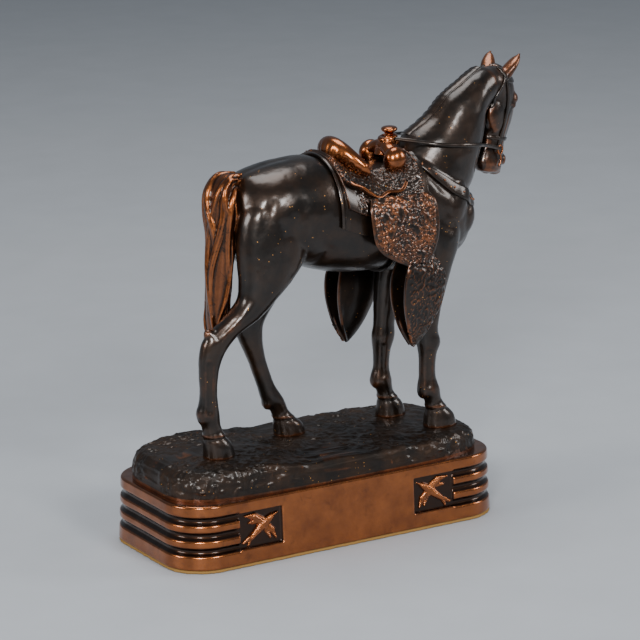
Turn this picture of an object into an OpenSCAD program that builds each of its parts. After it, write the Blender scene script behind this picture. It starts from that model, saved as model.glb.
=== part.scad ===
// Cast bronze statuette of a standing western saddle horse on a ribbed, felt-backed plinth.
// +X is the way the horse walks, +Y is its left side, +Z is up. The origin is the centre of
// the felt underside, so the statuette stands on Z = 0.

/* [Base] */
// Length of the plinth at its foot
base_l = 190; // [180:1:200]
// Width of the plinth at its foot
base_w = 86; // [80:1:92]
// Height of the plinth's deck above the table
deck_z = 34; // [33:0.5:35]
// Corner radius of the plinth at its foot
corner_r = 22; // [18:1:24]
// Thickness of the plinth's cast wall and deck
wall = 3; // [2.5:0.5:4]
// Thickness of the felt pad
felt_t = 1.5; // [1:0.5:2]
// How far the side walls lean in over their height
lean = 1.6; // [1:0.2:2.4]
// Depth of the grooves and of the relief windows
groove = 2; // [1:0.5:2]

/* [Horse] */
// Height at which the four legs join the trunk
joint_z = 127; // [126:1:128]
// Sides of a barrel, neck or head ring
ring_n = 28; // [20:2:32]
// Sides of a leg ring
leg_n = 18; // [14:2:20]
// Radius of the four joint dowels
dowel_r = 2.5; // [2:0.5:3]

/* [Tack] */
// Thickness of the saddle blanket
blanket_t = 1.4; // [1:0.2:2]
// Thickness of the leather skirts and fenders
leather_t = 1.6; // [1.2:0.2:2]
// Radius of the rein cords
rein_r = 0.9; // [0.7:0.1:1.2]

/* [Fasteners] */
// Radius of a mounting screw's shank
screw_r = 1.5; // [1:0.5:2]
// Radius of a mounting screw's head
screw_head_r = 3; // [2.5:0.5:3.5]

/* [Hidden] */

copper = "#b5653a";
bronze = "#2b2220";

// Ribs on the plinth's ends, from the foot up: [bottom, top] of each rounded bead.
RIBS = [[felt_t, 9.3], [12.2, 17.2], [20, 25], [27.8, deck_z]];
window_x = [39, 63];      // each relief window's reach along the long sides
window_z = [9.3, 27.8];   // and its height
mound_l = 90;             // half length of the ground casting at the deck
mound_w = 39;             // half width of the ground casting at the deck

// Trunk rings from the buttocks to the breast: [x, y, z, half width, half height].
BARREL = [[-42.5, 0, 165, 6, 9], [-41, 0, 165, 13, 15.9], [-36, 0, 165.5, 19.5, 21], [-28, 0, 166, 24, 23.5],
    [-13, 0, 166, 26, 26], [5, 0, 163, 26, 29], [19, 0, 157.5, 26, 26.5], [34, 0, 154.5, 26, 24.5],
    [50, 0, 156, 25, 26], [63, 0, 160, 23.5, 30], [80, 0, 157, 21, 27], [90, 0, 154.5, 16, 21],
    [95, 0, 156, 10.5, 14], [98, 0, 157.5, 4, 5]];
// Neck rings from the shoulder plane to the poll: [x, y, z, half width, half depth, pitch, yaw].
NECK = [[80.8, 0, 181.5, 17, 22.9, 51, 0], [90, 0.3, 192.5, 14.5, 18.5, 50, 4], [97, 1, 203, 12.3, 15.5, 46, 9],
    [103.5, 2, 211.3, 10.4, 10.8, 34, 16], [110.8, 3.6, 216.5, 9.5, 9.3, 12, 24]];
// Head rings in the head's own frame, which stands at head_at and is turned by head_yaw.
head_at = [122, 8, 0];
head_yaw = 24;
HEAD = [[-12.3, 0.6, 216.5, 9.5, 9.3, 12, 0], [-6, 0, 216, 9.6, 9.8, -10, 0], [-0.5, 0, 212.5, 10, 12, -42, 0],
    [1.8, 0, 205, 10.2, 12, -78, 0], [0.5, 0, 196, 9.2, 11.8, -96, 0], [-2.4, 0, 186, 7.4, 9.6, -103, 0],
    [-3.8, 0, 178.5, 6.6, 8.6, -106, 0], [-4.6, 0, 173, 6.4, 8.2, -107, 0], [-5.4, 0, 170, 4.2, 5.6, -107, 0]];
// Balls that an ear is drawn over, in the head's frame: [x, y to the side, z, radius].
EAR = [[0.5, 5, 219.5, 3], [3.5, 6.3, 225, 2.4], [8.5, 7.2, 230.3, 0.5]];
// Leg rings from the joint plane to the ground: [x, y, z, half width, half length, pitch, yaw].
RIGHT_FORE = [[67, -16, joint_z, 8, 10, -90, 0], [66, -16, 118, 7, 8.6, -90, 0],
    [64.5, -16, 108, 6, 7.2, -90, 0], [64, -16, 97, 5.5, 6.2, -90, 0], [64.5, -16, 89, 5.6, 6.4, -90, 0],
    [64, -16, 81, 4.6, 4.8, -90, 0], [64, -16, 73, 4, 4.7, -90, 0], [65, -16, 64, 5.2, 6.2, -90, 0],
    [68, -16, 58, 4.8, 4.9, -90, 0], [70.5, -16, 53, 6, 6.4, -90, 0], [71.5, -16, 45.5, 7.5, 9.5, -90, 0]];
LEFT_FORE = [[62, 14, joint_z, 8, 9.5, -90, 0], [59.5, 14, 116, 6.6, 7.8, -90, 0],
    [58, 14, 105, 6, 6.9, -90, 0], [57, 14, 95, 5.5, 6.2, -90, 0], [56, 14, 87, 5.6, 6.2, -90, 0],
    [55, 14, 79, 4.5, 4.8, -90, 0], [55, 14, 72, 4, 4.6, -90, 0], [54.5, 14, 64, 5.2, 6.2, -90, 0],
    [57.5, 14, 57, 4.8, 4.8, -90, 0], [59.5, 14, 52, 6, 6, -90, 0], [60.5, 14, 45.5, 7.5, 8.5, -90, 0]];
RIGHT_HIND = [[-36, -15, joint_z, 8.5, 9.5, -90, 0], [-45, -14.5, 118, 7, 11, -90, 0],
    [-57.5, -14, 109, 5.6, 8.6, -90, 0], [-62, -13.5, 100, 5, 6.2, -90, 0], [-63.5, -13, 88, 4.2, 4.7, -90, 0],
    [-63.5, -12.5, 79, 4.3, 4.8, -90, 0], [-64, -12, 71, 5.3, 6.3, -90, 0], [-61.8, -12, 64, 4.8, 5.2, -90, 0],
    [-59.8, -12, 58, 6, 6.4, -90, 0], [-57.5, -12, 49.5, 7.3, 8.7, -90, 0]];
LEFT_HIND = [[-11, 15, joint_z, 8.5, 10.5, -90, 0], [-19, 14.5, 116, 7, 9, -90, 0],
    [-25, 14, 105, 5.6, 8.2, -90, 0], [-22.5, 14, 95, 5, 5.9, -90, 0], [-19, 14, 85, 4.2, 4.7, -90, 0],
    [-16, 14, 75, 4.3, 4.7, -90, 0], [-11, 14, 64, 5.2, 6.1, -90, 0], [-6.5, 14, 57, 4.8, 5, -90, 0],
    [-3, 14, 52, 6, 6.6, -90, 0], [-1, 14, 45.5, 7.5, 8.8, -90, 0]];
// Tail rings from the dock down: [x, y, z, half width, half depth, pitch, yaw].
TAIL = [[-36, 0, 184, 5.5, 5, 170, 0], [-43.5, 0, 185, 8, 6, 200, 0], [-47, 0, 178.5, 10.5, 7.5, 245, 0],
    [-47, 0, 168, 12, 8, 268, 0], [-47.5, 0, 155, 11, 7.6, 268, 0], [-49, 0, 140, 9, 6.8, 264, 0],
    [-51, 0, 124, 7, 5.8, 262, 0], [-52.5, 0, 112, 5.4, 4.5, 262, 0], [-53.5, 0, 102, 2, 1.6, 262, 0]];
// Hoof centres that the mounting screws reach: [x, y].
SCREWS = [[71, -16], [60, 14], [-58, -12], [-1, 14]];
// Dowels between trunk and legs: [x, y].
DOWELS = [[67, -16], [62, 14], [-36, -15], [-11, 15]];
half_l = base_l / 2 - corner_r;
half_w = base_w / 2 - corner_r;
inner_r = corner_r - wall - lean - groove;
rib_grooves = [for (i = [0 : 2]) [RIBS[i][1], RIBS[i + 1][0]]];
bird_t = 1.4;
ground_z = 45.5;          // treading height under three of the hooves
hind_step = 4;            // how much higher the ground is under the right hind hoof
// Ground rings from the deck up: [share of the footprint, share of the rise].
MOUND_RINGS = [[1, 0], [0.995, 0.25], [0.975, 0.55], [0.94, 0.8], [0.885, 0.96], [0.8, 1], [0.4, 1], [0.02, 1]];
dowel_h = 6;
joint_lap = 0.6;          // how far a joint's solid reaches past its cut plane before it is cut
screw_head_h = 2;
washer_t = 0.8;
screw_foot = deck_z - wall - washer_t - screw_head_h;
screw_top = 55;           // the screws end inside the hooves
blanket_x = [6.5, 60];
skirt_x = [9, 57];
skirt_d = blanket_t + leather_t;
jockey_x = [10, 46];
jockey_d = skirt_d + leather_t;
fork_x = [46.5, 57];
horn_at = [51.7, 0, 193.5];
horn_h = 6.6;             // height of the horn under its cap
horn_cap_r = 3.8;
strap_r = 0.9;
collar_r = 2.2;
bit_at = [-6, 8, 182];
// Right stirrup cover and the space inside it: [x, y, z, half width, half length, pitch, yaw].
TAPADERO = [[50, -27, 143, 2.5, 4, -90, 0], [51, -27, 138, 5, 9.5, -90, 0], [52.5, -27, 128, 7.2, 13.6, -90, 0],
    [52, -27, 118, 6.8, 13, -90, 0], [49.5, -27, 106, 5, 9.5, -90, 0], [46.5, -27, 96, 2.4, 4, -90, 0]];
HOLLOW = [[40, -27, 146, 1.6, 9, -90, 0], [42, -27, 137, 3.4, 14, -90, 0], [43, -27, 128, 5.4, 20.5, -90, 0],
    [43, -27, 118, 5, 19, -90, 0], [42, -27, 106, 3.4, 14, -90, 0], [42, -27, 94, 1, 7, -90, 0]];
// Centre lines of the straps and cords on the horse's right side.
COLLAR = [[57, -13, 188.5], [62.5, -17, 183], [69.5, -19, 177], [80.5, -19.5, 168.5], [90, -15.5, 163],
    [96.5, -9, 159.5], [99.5, 0, 158]];
RIGHT_REIN = [[52, -6, 196], [60, -10, 194.5], [70, -15, 192.5], [80, -15.5, 191], [90, -14.5, 190],
    [99, -11, 188.5], [108, -6, 186.5], [115, -3, 184.5], [119, -2, 183]];
LEFT_REIN = [[52, 6, 196], [60, 10.5, 195], [70, 15.5, 193.5], [80, 17, 192.5], [90, 16.5, 191.5],
    [99, 15, 190], [106, 13.5, 187.5], [112, 12.5, 184]];
HEADS = smooth(HEAD, 3);

// Smooth curve through P with m steps between neighbours.
function spline(a, b, c, d, t) = 0.5 * (2 * b + (c - a) * t + (2 * a - 5 * b + 4 * c - d) * t * t
    + (-a + 3 * b - 3 * c + d) * t * t * t);
function smooth(P, m) = [for (i = [0 : len(P) - 2]) for (k = [0 : m - 1])
    spline(P[max(i - 1, 0)], P[i], P[i + 1], P[min(i + 2, len(P) - 1)], k / m), P[len(P) - 1]];
// Rounded power: keeps the sign, fills the corners of an ellipse a little.
function full(t) = sign(t) * pow(abs(t), 0.9);
// Point at angle t on ring s, pushed out by d. Angle 0 is +Y, 90 is the ring's top.
function ring_pt(s, t, d) = let (u = full(cos(t)) * (s[3] + d), v = full(sin(t)) * (s[4] + d),
    pitch = len(s) > 5 ? s[5] : 0, yaw = len(s) > 5 ? s[6] : 0, x = -sin(pitch) * v)
    [s[0] + x * cos(yaw) - u * sin(yaw), s[1] + x * sin(yaw) + u * cos(yaw), s[2] + cos(pitch) * v];
function ring(s, n) = [for (i = [0 : n - 1]) ring_pt(s, 360 * i / n, 0)];
// Trunk ring at any x.
TRUNK = smooth(BARREL, 3);
function at(x) = [x, 0, lookup(x, [for (s = TRUNK) [s[0], s[2]]]),
    lookup(x, [for (s = TRUNK) [s[0], s[3]]]), lookup(x, [for (s = TRUNK) [s[0], s[4]]])];
// Neck ring at fraction f of the neck.
NECKS = smooth(NECK, 4);
function neck_at(f) = NECKS[round(f * (len(NECKS) - 1))];

// Closed skin through rings that all have the same number of points.
module skin(rings) {
    n = len(rings[0]);
    m = len(rings);
    polyhedron(points = [for (r = rings) for (p = r) p],
        faces = concat([[for (i = [0 : n - 1]) i], [for (i = [n - 1 : -1 : 0]) (m - 1) * n + i]],
            [for (j = [0 : m - 2]) for (i = [0 : n - 1]) let (a = j * n + i, b = j * n + (i + 1) % n)
                each [[a, a + n, b + n], [a, b + n, b]]]));
}
module limb(stations, n, steps = 3) skin([for (s = smooth(stations, steps)) ring(s, n)]);

// Sheet of even thickness: f(u, v, d) gives its points at depth d over the grid us by vs.
module sheet(f, us, vs, d0, d1) {
    n = len(vs);
    m = len(us);
    g = n * m;
    polyhedron(points = concat([for (u = us) for (v = vs) f(u, v, d0)], [for (u = us) for (v = vs) f(u, v, d1)]),
        faces = concat(
            [for (j = [0 : m - 2]) for (i = [0 : n - 2]) let (a = j * n + i)
                each [[a, a + n, a + n + 1], [a, a + n + 1, a + 1],
                    [g + a, g + a + n + 1, g + a + n], [g + a, g + a + 1, g + a + n + 1]]],
            [for (i = [0 : n - 2]) let (a = i, b = (m - 1) * n + i)
                each [[a, a + 1, g + a + 1], [a, g + a + 1, g + a], [b, g + b + 1, b + 1], [b, g + b, g + b + 1]]],
            [for (j = [0 : m - 2]) let (a = j * n, b = j * n + n - 1)
                each [[a, g + a, g + a + n], [a, g + a + n, a + n], [b, g + b + n, g + b], [b, b + n, g + b + n]]]));
}
function steps(a, b, n) = [for (i = [0 : n]) a + (b - a) * i / n];

// Round cord or strap through points, one hull a stretch.
module cord(P, r, flat = 1) {
    for (i = [0 : len(P) - 2]) hull() for (p = [P[i], P[i + 1]])
        translate(p) scale([1, 1, flat]) sphere(r, $fn = 12);
}
module both_sides() {
    children();
    mirror([0, 1, 0]) children();
}

// Section of the plinth's wall, drawn outward from the axis of a corner: X is the distance
// from that axis and Y the height. Each groove steps the leaning face back.
function face_at(z) = corner_r - lean * (z - felt_t) / (deck_z - felt_t);
module wall_section(grooves) difference() {
    polygon([[inner_r, felt_t], [face_at(felt_t), felt_t], [face_at(deck_z), deck_z], [inner_r, deck_z]]);
    for (g = grooves) translate([face_at(g[0]) - groove, g[0]]) square([groove * 2, g[1] - g[0]]);
}
// Straight stretch of a long side's wall from x = a to x = b, facing -Y.
module long_run(a, b, grooves) translate([b, -half_w, 0]) rotate([90, 0, -90])
    linear_extrude(b - a) wall_section(grooves);
module end_run() translate([half_l, half_w, 0]) rotate([90, 0, 0])
    linear_extrude(2 * half_w) wall_section(rib_grooves);
module corner() translate([half_l, half_w, 0]) rotate_extrude(angle = 90, $fn = 96)
    wall_section(rib_grooves);
module both_ends() {
    children();
    mirror([1, 0, 0]) children();
}
// Rectangle with round corners about the plinth's own corner axes.
module rounded_plate(r) {
    square([2 * half_l, 2 * (half_w + r)], center = true);
    square([2 * (half_l + r), 2 * half_w], center = true);
    for (x = [-half_l, half_l], y = [-half_w, half_w]) translate([x, y]) circle(r, $fn = 96);
}

module felt_pad() color("#b08a4a") linear_extrude(felt_t) rounded_plate(corner_r - 1);

module base_plinth() color(copper) difference() {
    union() {
        both_ends() {
            end_run();
            both_sides() {
                corner();
                long_run(window_x[1], half_l, rib_grooves);
                long_run(window_x[0], window_x[1], [window_z]);
            }
        }
        both_sides() long_run(-window_x[0], window_x[0], []);
        translate([0, 0, deck_z - wall]) linear_extrude(wall) rounded_plate(inner_r + wall / 2);
    }
    for (s = SCREWS) translate([s[0], s[1], deck_z - 2 * wall]) cylinder(r = screw_r, h = 3 * wall, $fn = 32);
}

// Flying bird in low relief, body along a diagonal, wings spread.
module bird() union() {
    polygon([for (i = [0 : 9]) let (t = 18 * i) [-9 * cos(t), -7 * cos(t) + 2.4 * sin(t)],
        for (i = [0 : 9]) let (t = 18 * i) [9 * cos(t), 7 * cos(t) - 1.6 * sin(t)]]);
    polygon([[-3, 0], [-9.5, 6.5], [1, 5.5], [5, 4]]);
    polygon([[-1, -2], [6, -7], [7, -1], [5, 3]]);
}
module relief_birds() color(copper) both_ends() both_sides()
    translate([(window_x[0] + window_x[1]) / 2, -half_w - face_at(window_z[0]) + groove,
        (window_z[0] + window_z[1]) / 2])
    rotate([90, 0, 0]) linear_extrude(bird_t) bird();

// Rough ground under the hooves: rings that shrink as they rise to the treading height.
function rise(x) = ground_z + hind_step * smoothstep((-x - 10) / 40);
function smoothstep(t) = let (c = min(max(t, 0), 1)) c * c * (3 - 2 * c);
function ground_ring(scale, lift) = [for (i = [0 : 47]) let (t = 7.5 * i,
    x = mound_l * scale * blunt(sin(t)), y = mound_w * scale * blunt(cos(t)),
    rough = 0.6 * sin(5 * t) * lift * (1 - lift) * 4)
    [x, y, deck_z + (rise(x) - deck_z) * lift + rough]];
function blunt(t) = sign(t) * pow(abs(t), 0.45);
module ground_mound() color(bronze) difference() {
    skin([for (k = MOUND_RINGS) ground_ring(k[0], k[1])]);
    for (s = SCREWS) translate([s[0], s[1], deck_z - 1]) cylinder(r = screw_r, h = 20, $fn = 32);
}

// Thin plate that fills ring s and stands a little to both sides of it along the ring's own axis, so that
// the joint plane cuts it cleanly.
module disc(s) {
    past = [cos(s[5]), 0, sin(s[5]), 0, 0, 0, 0] * joint_lap;
    skin([ring(s - past, ring_n), ring(s + past, ring_n)]);
}
module ball(p, r) translate(p) scale(r) sphere(1, $fn = 28);
// Root of a limb: from the joint plane up to the mass of muscle at p with radii r.
module root(s, p, r, q, w) {
    hull() {
        disc(s);
        ball(p, r);
    }
    hull() {
        ball(p, r);
        ball(q, w);
    }
}
module torso_form() {
    limb(BARREL, ring_n);
    root(RIGHT_FORE[0], [70, -13, 148], [11, 9, 16], [66, -13, 168], [12, 9, 14]);
    root(LEFT_FORE[0], [67, 12, 148], [11, 9, 15], [66, 12, 168], [12, 9, 14]);
    root(RIGHT_HIND[0], [-30, -14, 143], [14, 10, 12], [-26, -12, 163], [16, 13, 18]);
    root(LEFT_HIND[0], [-16, 14, 141], [14, 10, 10], [-25, 12, 160], [17, 13, 18]);
    hull() {
        disc(NECK[0]);
        ball([66, 0, 168], [15, 18, 19]);
    }
    hull() {
        ball([83, 0, 158], [13.5, 14, 18]);
        ball([70, 0, 158], [13, 19, 22]);
    }
}
module past_neck() translate([NECK[0][0], 0, NECK[0][2]]) rotate([0, 90 - NECK[0][5], 0])
    translate([-60, -60, 0]) cube([120, 120, 80]);
module torso() color(bronze) difference() {
    torso_form();
    past_neck();
    translate([-120, -60, joint_z - 80]) cube([240, 120, 80]);
    for (d = DOWELS) translate([d[0], d[1], joint_z - 1]) cylinder(r = dowel_r, h = dowel_h + 1, $fn = 32);
    tail_root();
}
module neck_form() skin([for (s = NECKS) ring(s, ring_n)]);
module neck() color(bronze) neck_form();
module in_head_frame() translate(head_at) rotate([0, 0, head_yaw]) children();
module ear(side) hull() for (e = EAR) translate([e[0], side * e[1], e[2]]) sphere(e[3], $fn = 16);
module head_form() in_head_frame() {
    limb(HEAD, ring_n);
    ear(1);
    ear(-1);
}
module head() color(bronze) head_form();
// Mane lying on the left of the neck, and the forelock between the ears.
module mane() color(bronze) sheet(function (u, v, d)
    ring_pt(neck_at(u), v, 0.1 + d * (0.5 + 1.2 * sin(180 * (v - 20) / 90))), [0.06, 0.2, 0.35, 0.5, 0.65, 0.8, 0.94],
    steps(110, 20, 9), 0, 1);
module forelock() color(bronze) in_head_frame() sheet(function (u, v, d)
    ring_pt(HEADS[round(u)], v, 0.1 + d * 1.2), [4, 5, 6, 7, 8], steps(104, 76, 4), 0, 1);

module leg(stations, screw, dowel) difference() {
    limb(stations, leg_n);
    translate([dowel[0], dowel[1], joint_z - dowel_h]) cylinder(r = dowel_r, h = dowel_h + 1, $fn = 32);
    translate([screw[0], screw[1], ground_z - 1]) cylinder(r = screw_r, h = screw_top - ground_z + 1, $fn = 32);
}
module right_foreleg() color(bronze) leg(RIGHT_FORE, SCREWS[0], DOWELS[0]);
module left_foreleg() color(bronze) leg(LEFT_FORE, SCREWS[1], DOWELS[1]);
module right_hindleg() color(bronze) leg(RIGHT_HIND, SCREWS[2], DOWELS[2]);
module left_hindleg() color(bronze) leg(LEFT_HIND, SCREWS[3], DOWELS[3]);

module tail_root() limb(TAIL, leg_n);
module tail() color(copper) tail_root();

// Tack that lies on the trunk: x runs from the sheet's rear edge to its front edge.
function on_trunk(x, t, d) = ring_pt(at(x), t, d);
module saddle_blanket() color(bronze) sheet(function (u, v, d)
    on_trunk(blanket_x[0] + u * (blanket_x[1] - blanket_x[0]), v, d),
    steps(0, 1, 12), steps(177, 3, 20), 0.1, blanket_t);
module saddle_skirt() color(copper) sheet(function (u, v, d)
    on_trunk(skirt_x[0] + u * (skirt_x[1] - skirt_x[0]), v, d),
    steps(0, 1, 10), steps(170, 10, 18), blanket_t, skirt_d);
module seat_jockey() color(bronze) sheet(function (u, v, d)
    on_trunk(jockey_x[0] + u * (jockey_x[1] - jockey_x[0]), v, d),
    steps(0, 1, 8), steps(145, 35, 14), skirt_d, jockey_d);
// The cantle's padded roll, an arch behind the seat: bend is 0 at its crown and 1 at its ends.
function bend(t) = pow((t - 90) / 28, 2);
module cantle() color(copper) for (i = [0 : 7]) hull() for (t = [62 + 7 * i, 69 + 7 * i]) {
    translate(on_trunk(15 + 12 * bend(t), t, jockey_d + 4.8 - 1.8 * bend(t))) sphere(4.6 - 1.1 * bend(t), $fn = 16);
}
module swell_fork() color(copper) sheet(function (u, v, d)
    on_trunk(fork_x[0] + u * (fork_x[1] - fork_x[0]), v,
        skirt_d + d * (0.6 + 8 * pow(sin(180 * u), 0.6) * pow(sin(2 * (v - 45)), 0.4))),
    steps(0.02, 0.98, 8), steps(133, 47, 16), 0, 1);
module saddle_horn() color(copper) translate(horn_at) {
    cylinder(r1 = 3, r2 = 2.1, h = horn_h, $fn = 32);
    translate([0, 0, horn_h]) cylinder(r = horn_cap_r, h = 2, $fn = 32);
}
// Leather panel beside the horse from rows [z, rear x, front x, y of its outer face].
module panel(rows, t) sheet(function (u, v, d)
    let (r = rows[u]) [r[1] + v * (r[2] - r[1]), r[3] + d, r[0]],
    [for (i = [0 : len(rows) - 1]) i], steps(0, 1, 6), t, 0);
module fender() panel([[178, 24, 50, -26.5], [168, 21, 53, -30.5], [160, 22, 54, -31], [152, 27, 53, -31.5],
    [146, 33, 51, -32], [140, 38, 48, -33]], leather_t);
module right_fender() color(copper) fender();
module left_fender() color(copper) translate([-5, 0, -6]) mirror([0, 1, 0]) fender();
// Hooded stirrup cover: two leaf-shaped wings joined at the front, open at the back.
module tapadero() difference() {
    skin([for (s = smooth(TAPADERO, 2)) ring(s, 20)]);
    skin([for (s = smooth(HOLLOW, 2)) ring(s, 20)]);
}
module right_tapadero() color(copper) tapadero();
module left_tapadero() color(copper) translate([-6, 0, -9]) mirror([0, 1, 0]) tapadero();
module cinch() color(bronze) sheet(function (u, v, d) on_trunk(40 + 9 * u, v, d),
    steps(0, 1, 3), steps(356, 184, 20), 0.1, blanket_t);

module breast_collar() color(bronze) difference() {
    both_sides() cord(COLLAR, collar_r);
    torso_form();
    neck_form();
}
module headstall() color(copper) difference() {
    in_head_frame() {
        strap_loop(HEADS[15], strap_r);
        strap_loop(HEADS[5], strap_r);
        both_sides() cord([[-6, 9.6, 217], [-2, 10.2, 207], [-3, 9, 195], [-5, 7.2, 185]], strap_r);
    }
    head_form();
    neck_form();
}
module strap_loop(s, r) for (i = [0 : 11]) hull() for (t = [30 * i, 30 * i + 30])
    translate(ring_pt(s, t, 0.2)) sphere(r, $fn = 8);
module bit_rings() color(copper) in_head_frame() both_sides()
    translate([bit_at[0], bit_at[1], bit_at[2]]) rotate([90, 0, 0]) rotate_extrude($fn = 48)
    translate([2.2, 0]) circle(0.6, $fn = 24);
module right_rein() color(bronze) rein(RIGHT_REIN);
module left_rein() color(bronze) rein(LEFT_REIN);
module rein(P) difference() {
    cord(P, rein_r);
    torso_form();
    neck_form();
    head_form();
}
module joint_dowels() color("#9a9a95") for (d = DOWELS)
    translate([d[0], d[1], joint_z - dowel_h]) cylinder(r = dowel_r, h = 2 * dowel_h, $fn = 32);
module mounting_screws() color("#8d8d88") for (s = SCREWS) translate([s[0], s[1], screw_foot]) {
    cylinder(r = screw_head_r, h = screw_head_h, $fn = 32);
    cylinder(r = screw_r, h = screw_top - screw_foot, $fn = 32);
}
module screw_washers() color("#a5a59f") for (s = SCREWS)
    translate([s[0], s[1], deck_z - wall - washer_t]) difference() {
        cylinder(r = screw_head_r + 1.5, h = washer_t, $fn = 32);
        translate([0, 0, -1]) cylinder(r = screw_r, h = washer_t + 2, $fn = 32);
    }

felt_pad();
base_plinth();
relief_birds();
ground_mound();
torso();
neck();
head();
mane();
forelock();
right_foreleg();
left_foreleg();
right_hindleg();
left_hindleg();
tail();
saddle_blanket();
saddle_skirt();
seat_jockey();
cantle();
swell_fork();
saddle_horn();
right_fender();
left_fender();
right_tapadero();
left_tapadero();
cinch();
breast_collar();
headstall();
bit_rings();
right_rein();
left_rein();
joint_dowels();
mounting_screws();
screw_washers();
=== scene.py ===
"""Cast saddle-horse statuette with a dark bronze finish and rubbed copper, on a ribbed plinth.

The horse's masses are lofts and ellipsoids that one voxel skin joins, as wax is joined before casting. Tool strokes
then draw the muscles, and the casting is cut along its joints. The tack, tail, ground and plinth are surfaces of two
parameters. Lengths are millimetres in the part's own frame until a mesh is made.
"""
import math

import bmesh
import bpy
import numpy as np
from mathutils import Matrix, Vector


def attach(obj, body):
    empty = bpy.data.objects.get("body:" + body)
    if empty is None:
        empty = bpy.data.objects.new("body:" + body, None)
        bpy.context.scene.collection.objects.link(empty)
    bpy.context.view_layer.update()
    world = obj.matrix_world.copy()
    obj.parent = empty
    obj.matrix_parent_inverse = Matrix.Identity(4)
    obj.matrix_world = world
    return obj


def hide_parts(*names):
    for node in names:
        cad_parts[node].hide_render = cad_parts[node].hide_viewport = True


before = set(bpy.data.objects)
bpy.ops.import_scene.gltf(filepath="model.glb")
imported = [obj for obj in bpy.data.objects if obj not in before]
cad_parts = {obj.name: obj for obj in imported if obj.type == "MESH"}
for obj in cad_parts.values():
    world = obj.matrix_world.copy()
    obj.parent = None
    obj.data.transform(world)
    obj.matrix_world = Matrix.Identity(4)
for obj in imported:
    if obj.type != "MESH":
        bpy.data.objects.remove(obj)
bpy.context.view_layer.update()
MM = 0.001
TAU = 2 * math.pi

# ---------------------------------------------------------------- stations, as in the CAD
# Rows of [x, y, z, half width, half length, pitch, yaw]; a ring's own axis points along its pitch and yaw.
TRUNK = [[-42.5, 0, 165, 6, 9], [-41, 0, 165, 13, 16], [-36, 0, 165.5, 19.5, 21], [-28, 0, 166, 24, 23.5],
         [-13, 0, 166, 26, 26], [5, 0, 163, 26, 29], [19, 0, 157.5, 26, 26.5], [34, 0, 154.5, 26, 24.5],
         [50, 0, 156, 25, 26], [63, 0, 160, 23.5, 30], [80, 0, 157, 21, 27], [90, 0, 154.5, 16, 21],
         [95, 0, 156, 10.5, 14], [98, 0, 157.5, 4, 5]]
NECK = [[70, 0, 168, 18, 24, 51, 0], [80.8, 0, 181.5, 16.5, 22.9, 51, 0], [90, 0.3, 192.5, 14, 18.5, 50, 4],
        [97, 1, 203, 12, 15.5, 46, 9], [103.5, 2, 211.3, 10.2, 10.8, 34, 16], [110.8, 3.6, 216.3, 9.3, 9.3, 12, 24],
        [117, 6, 216, 8, 8.5, -5, 24]]
HEAD_AT = np.array([122.0, 8.0, 0.0])
HEAD_YAW = 24.0
HEAD = [[-12.3, 0.6, 216, 8.8, 8.8, 12, 0], [-6, 0, 216, 9.2, 9.4, -10, 0], [-0.5, 0, 212.5, 9.2, 11.6, -42, 0],
        [1.8, 0, 205, 8.8, 11.6, -78, 0], [0.3, 0, 196, 7.6, 11.2, -96, 0], [-2.8, 0, 186, 6, 9.4, -103, 0],
        [-4.8, 0, 179, 5.8, 9.4, -106, 0], [-6.2, 0, 173.5, 6, 9.7, -104, 0], [-7, 0, 169.8, 4.8, 7.4, -102, 0]]


def downward(rows):
    """Stations of a limb: every ring's axis points straight down, a pitch of -90 degrees."""
    return [row + [-90, 0] for row in rows]


# Whole limbs, from the muscle inside the trunk to the sole.
RIGHT_FORE = downward([[64, -9, 184, 6, 10], [66, -11.5, 170, 9, 14], [69, -13.5, 155, 9.5, 15],
                       [69.5, -15, 141, 9.2, 13], [67.5, -16, 128, 7.6, 10], [66, -16, 118, 6.6, 8.4],
                       [64.5, -16, 108, 5.6, 7], [64, -16, 97, 4.9, 5.8], [64.7, -16, 90, 5.4, 6.3],
                       [64, -16, 83, 4.2, 4.7], [63.8, -16, 73, 3.8, 4.5], [64.6, -16, 65.5, 4.9, 5.9],
                       [67.2, -16, 59.5, 4.1, 4.6], [69.6, -16, 54.5, 5.2, 6], [71, -16, 50.5, 6.4, 8],
                       [71.6, -16, 44.5, 7.2, 9.2]])
LEFT_FORE = downward([[62, 9, 184, 6, 10], [64, 11, 170, 9, 14], [66, 12.5, 155, 9.5, 15], [65, 13.5, 141, 9.2, 13],
                      [62.5, 14, 128, 7.6, 9.6], [59.7, 14, 116, 6.3, 7.8], [58, 14, 105, 5.6, 6.7],
                      [56.8, 14, 95, 4.9, 5.8], [56.2, 14, 88, 5.4, 6.2], [55.2, 14, 80, 4.2, 4.7],
                      [54.8, 14, 72, 3.8, 4.4], [54.6, 14, 65, 4.8, 5.8], [57, 14, 58.5, 4.1, 4.5],
                      [59, 14, 54, 5.2, 5.9], [60, 14, 50, 6.3, 7.4], [60.5, 14, 44.5, 7, 8.4]])
RIGHT_HIND = downward([[-18, -9, 184, 8, 13], [-23, -11, 172, 12, 18], [-25, -12.5, 158, 12.5, 19.5],
                       [-27, -14, 145, 11.5, 18], [-31, -15, 135, 10, 14], [-36, -15, 127, 8.4, 10.6],
                       [-44.5, -14.5, 118.5, 6.8, 10.6], [-56, -14, 110.5, 5.4, 9], [-61.3, -13.6, 102, 4.9, 6.6],
                       [-63, -13.2, 93, 4.2, 5.1], [-63.2, -12.8, 83, 3.9, 4.5], [-63.2, -12.4, 77, 4.4, 5],
                       [-63.4, -12, 71.5, 5, 6], [-61.6, -12, 65, 4.2, 4.9], [-59.8, -12, 59, 5.2, 6],
                       [-58.3, -12, 55, 6.3, 7.4], [-57.3, -12, 48.5, 7, 8.5]])
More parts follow.
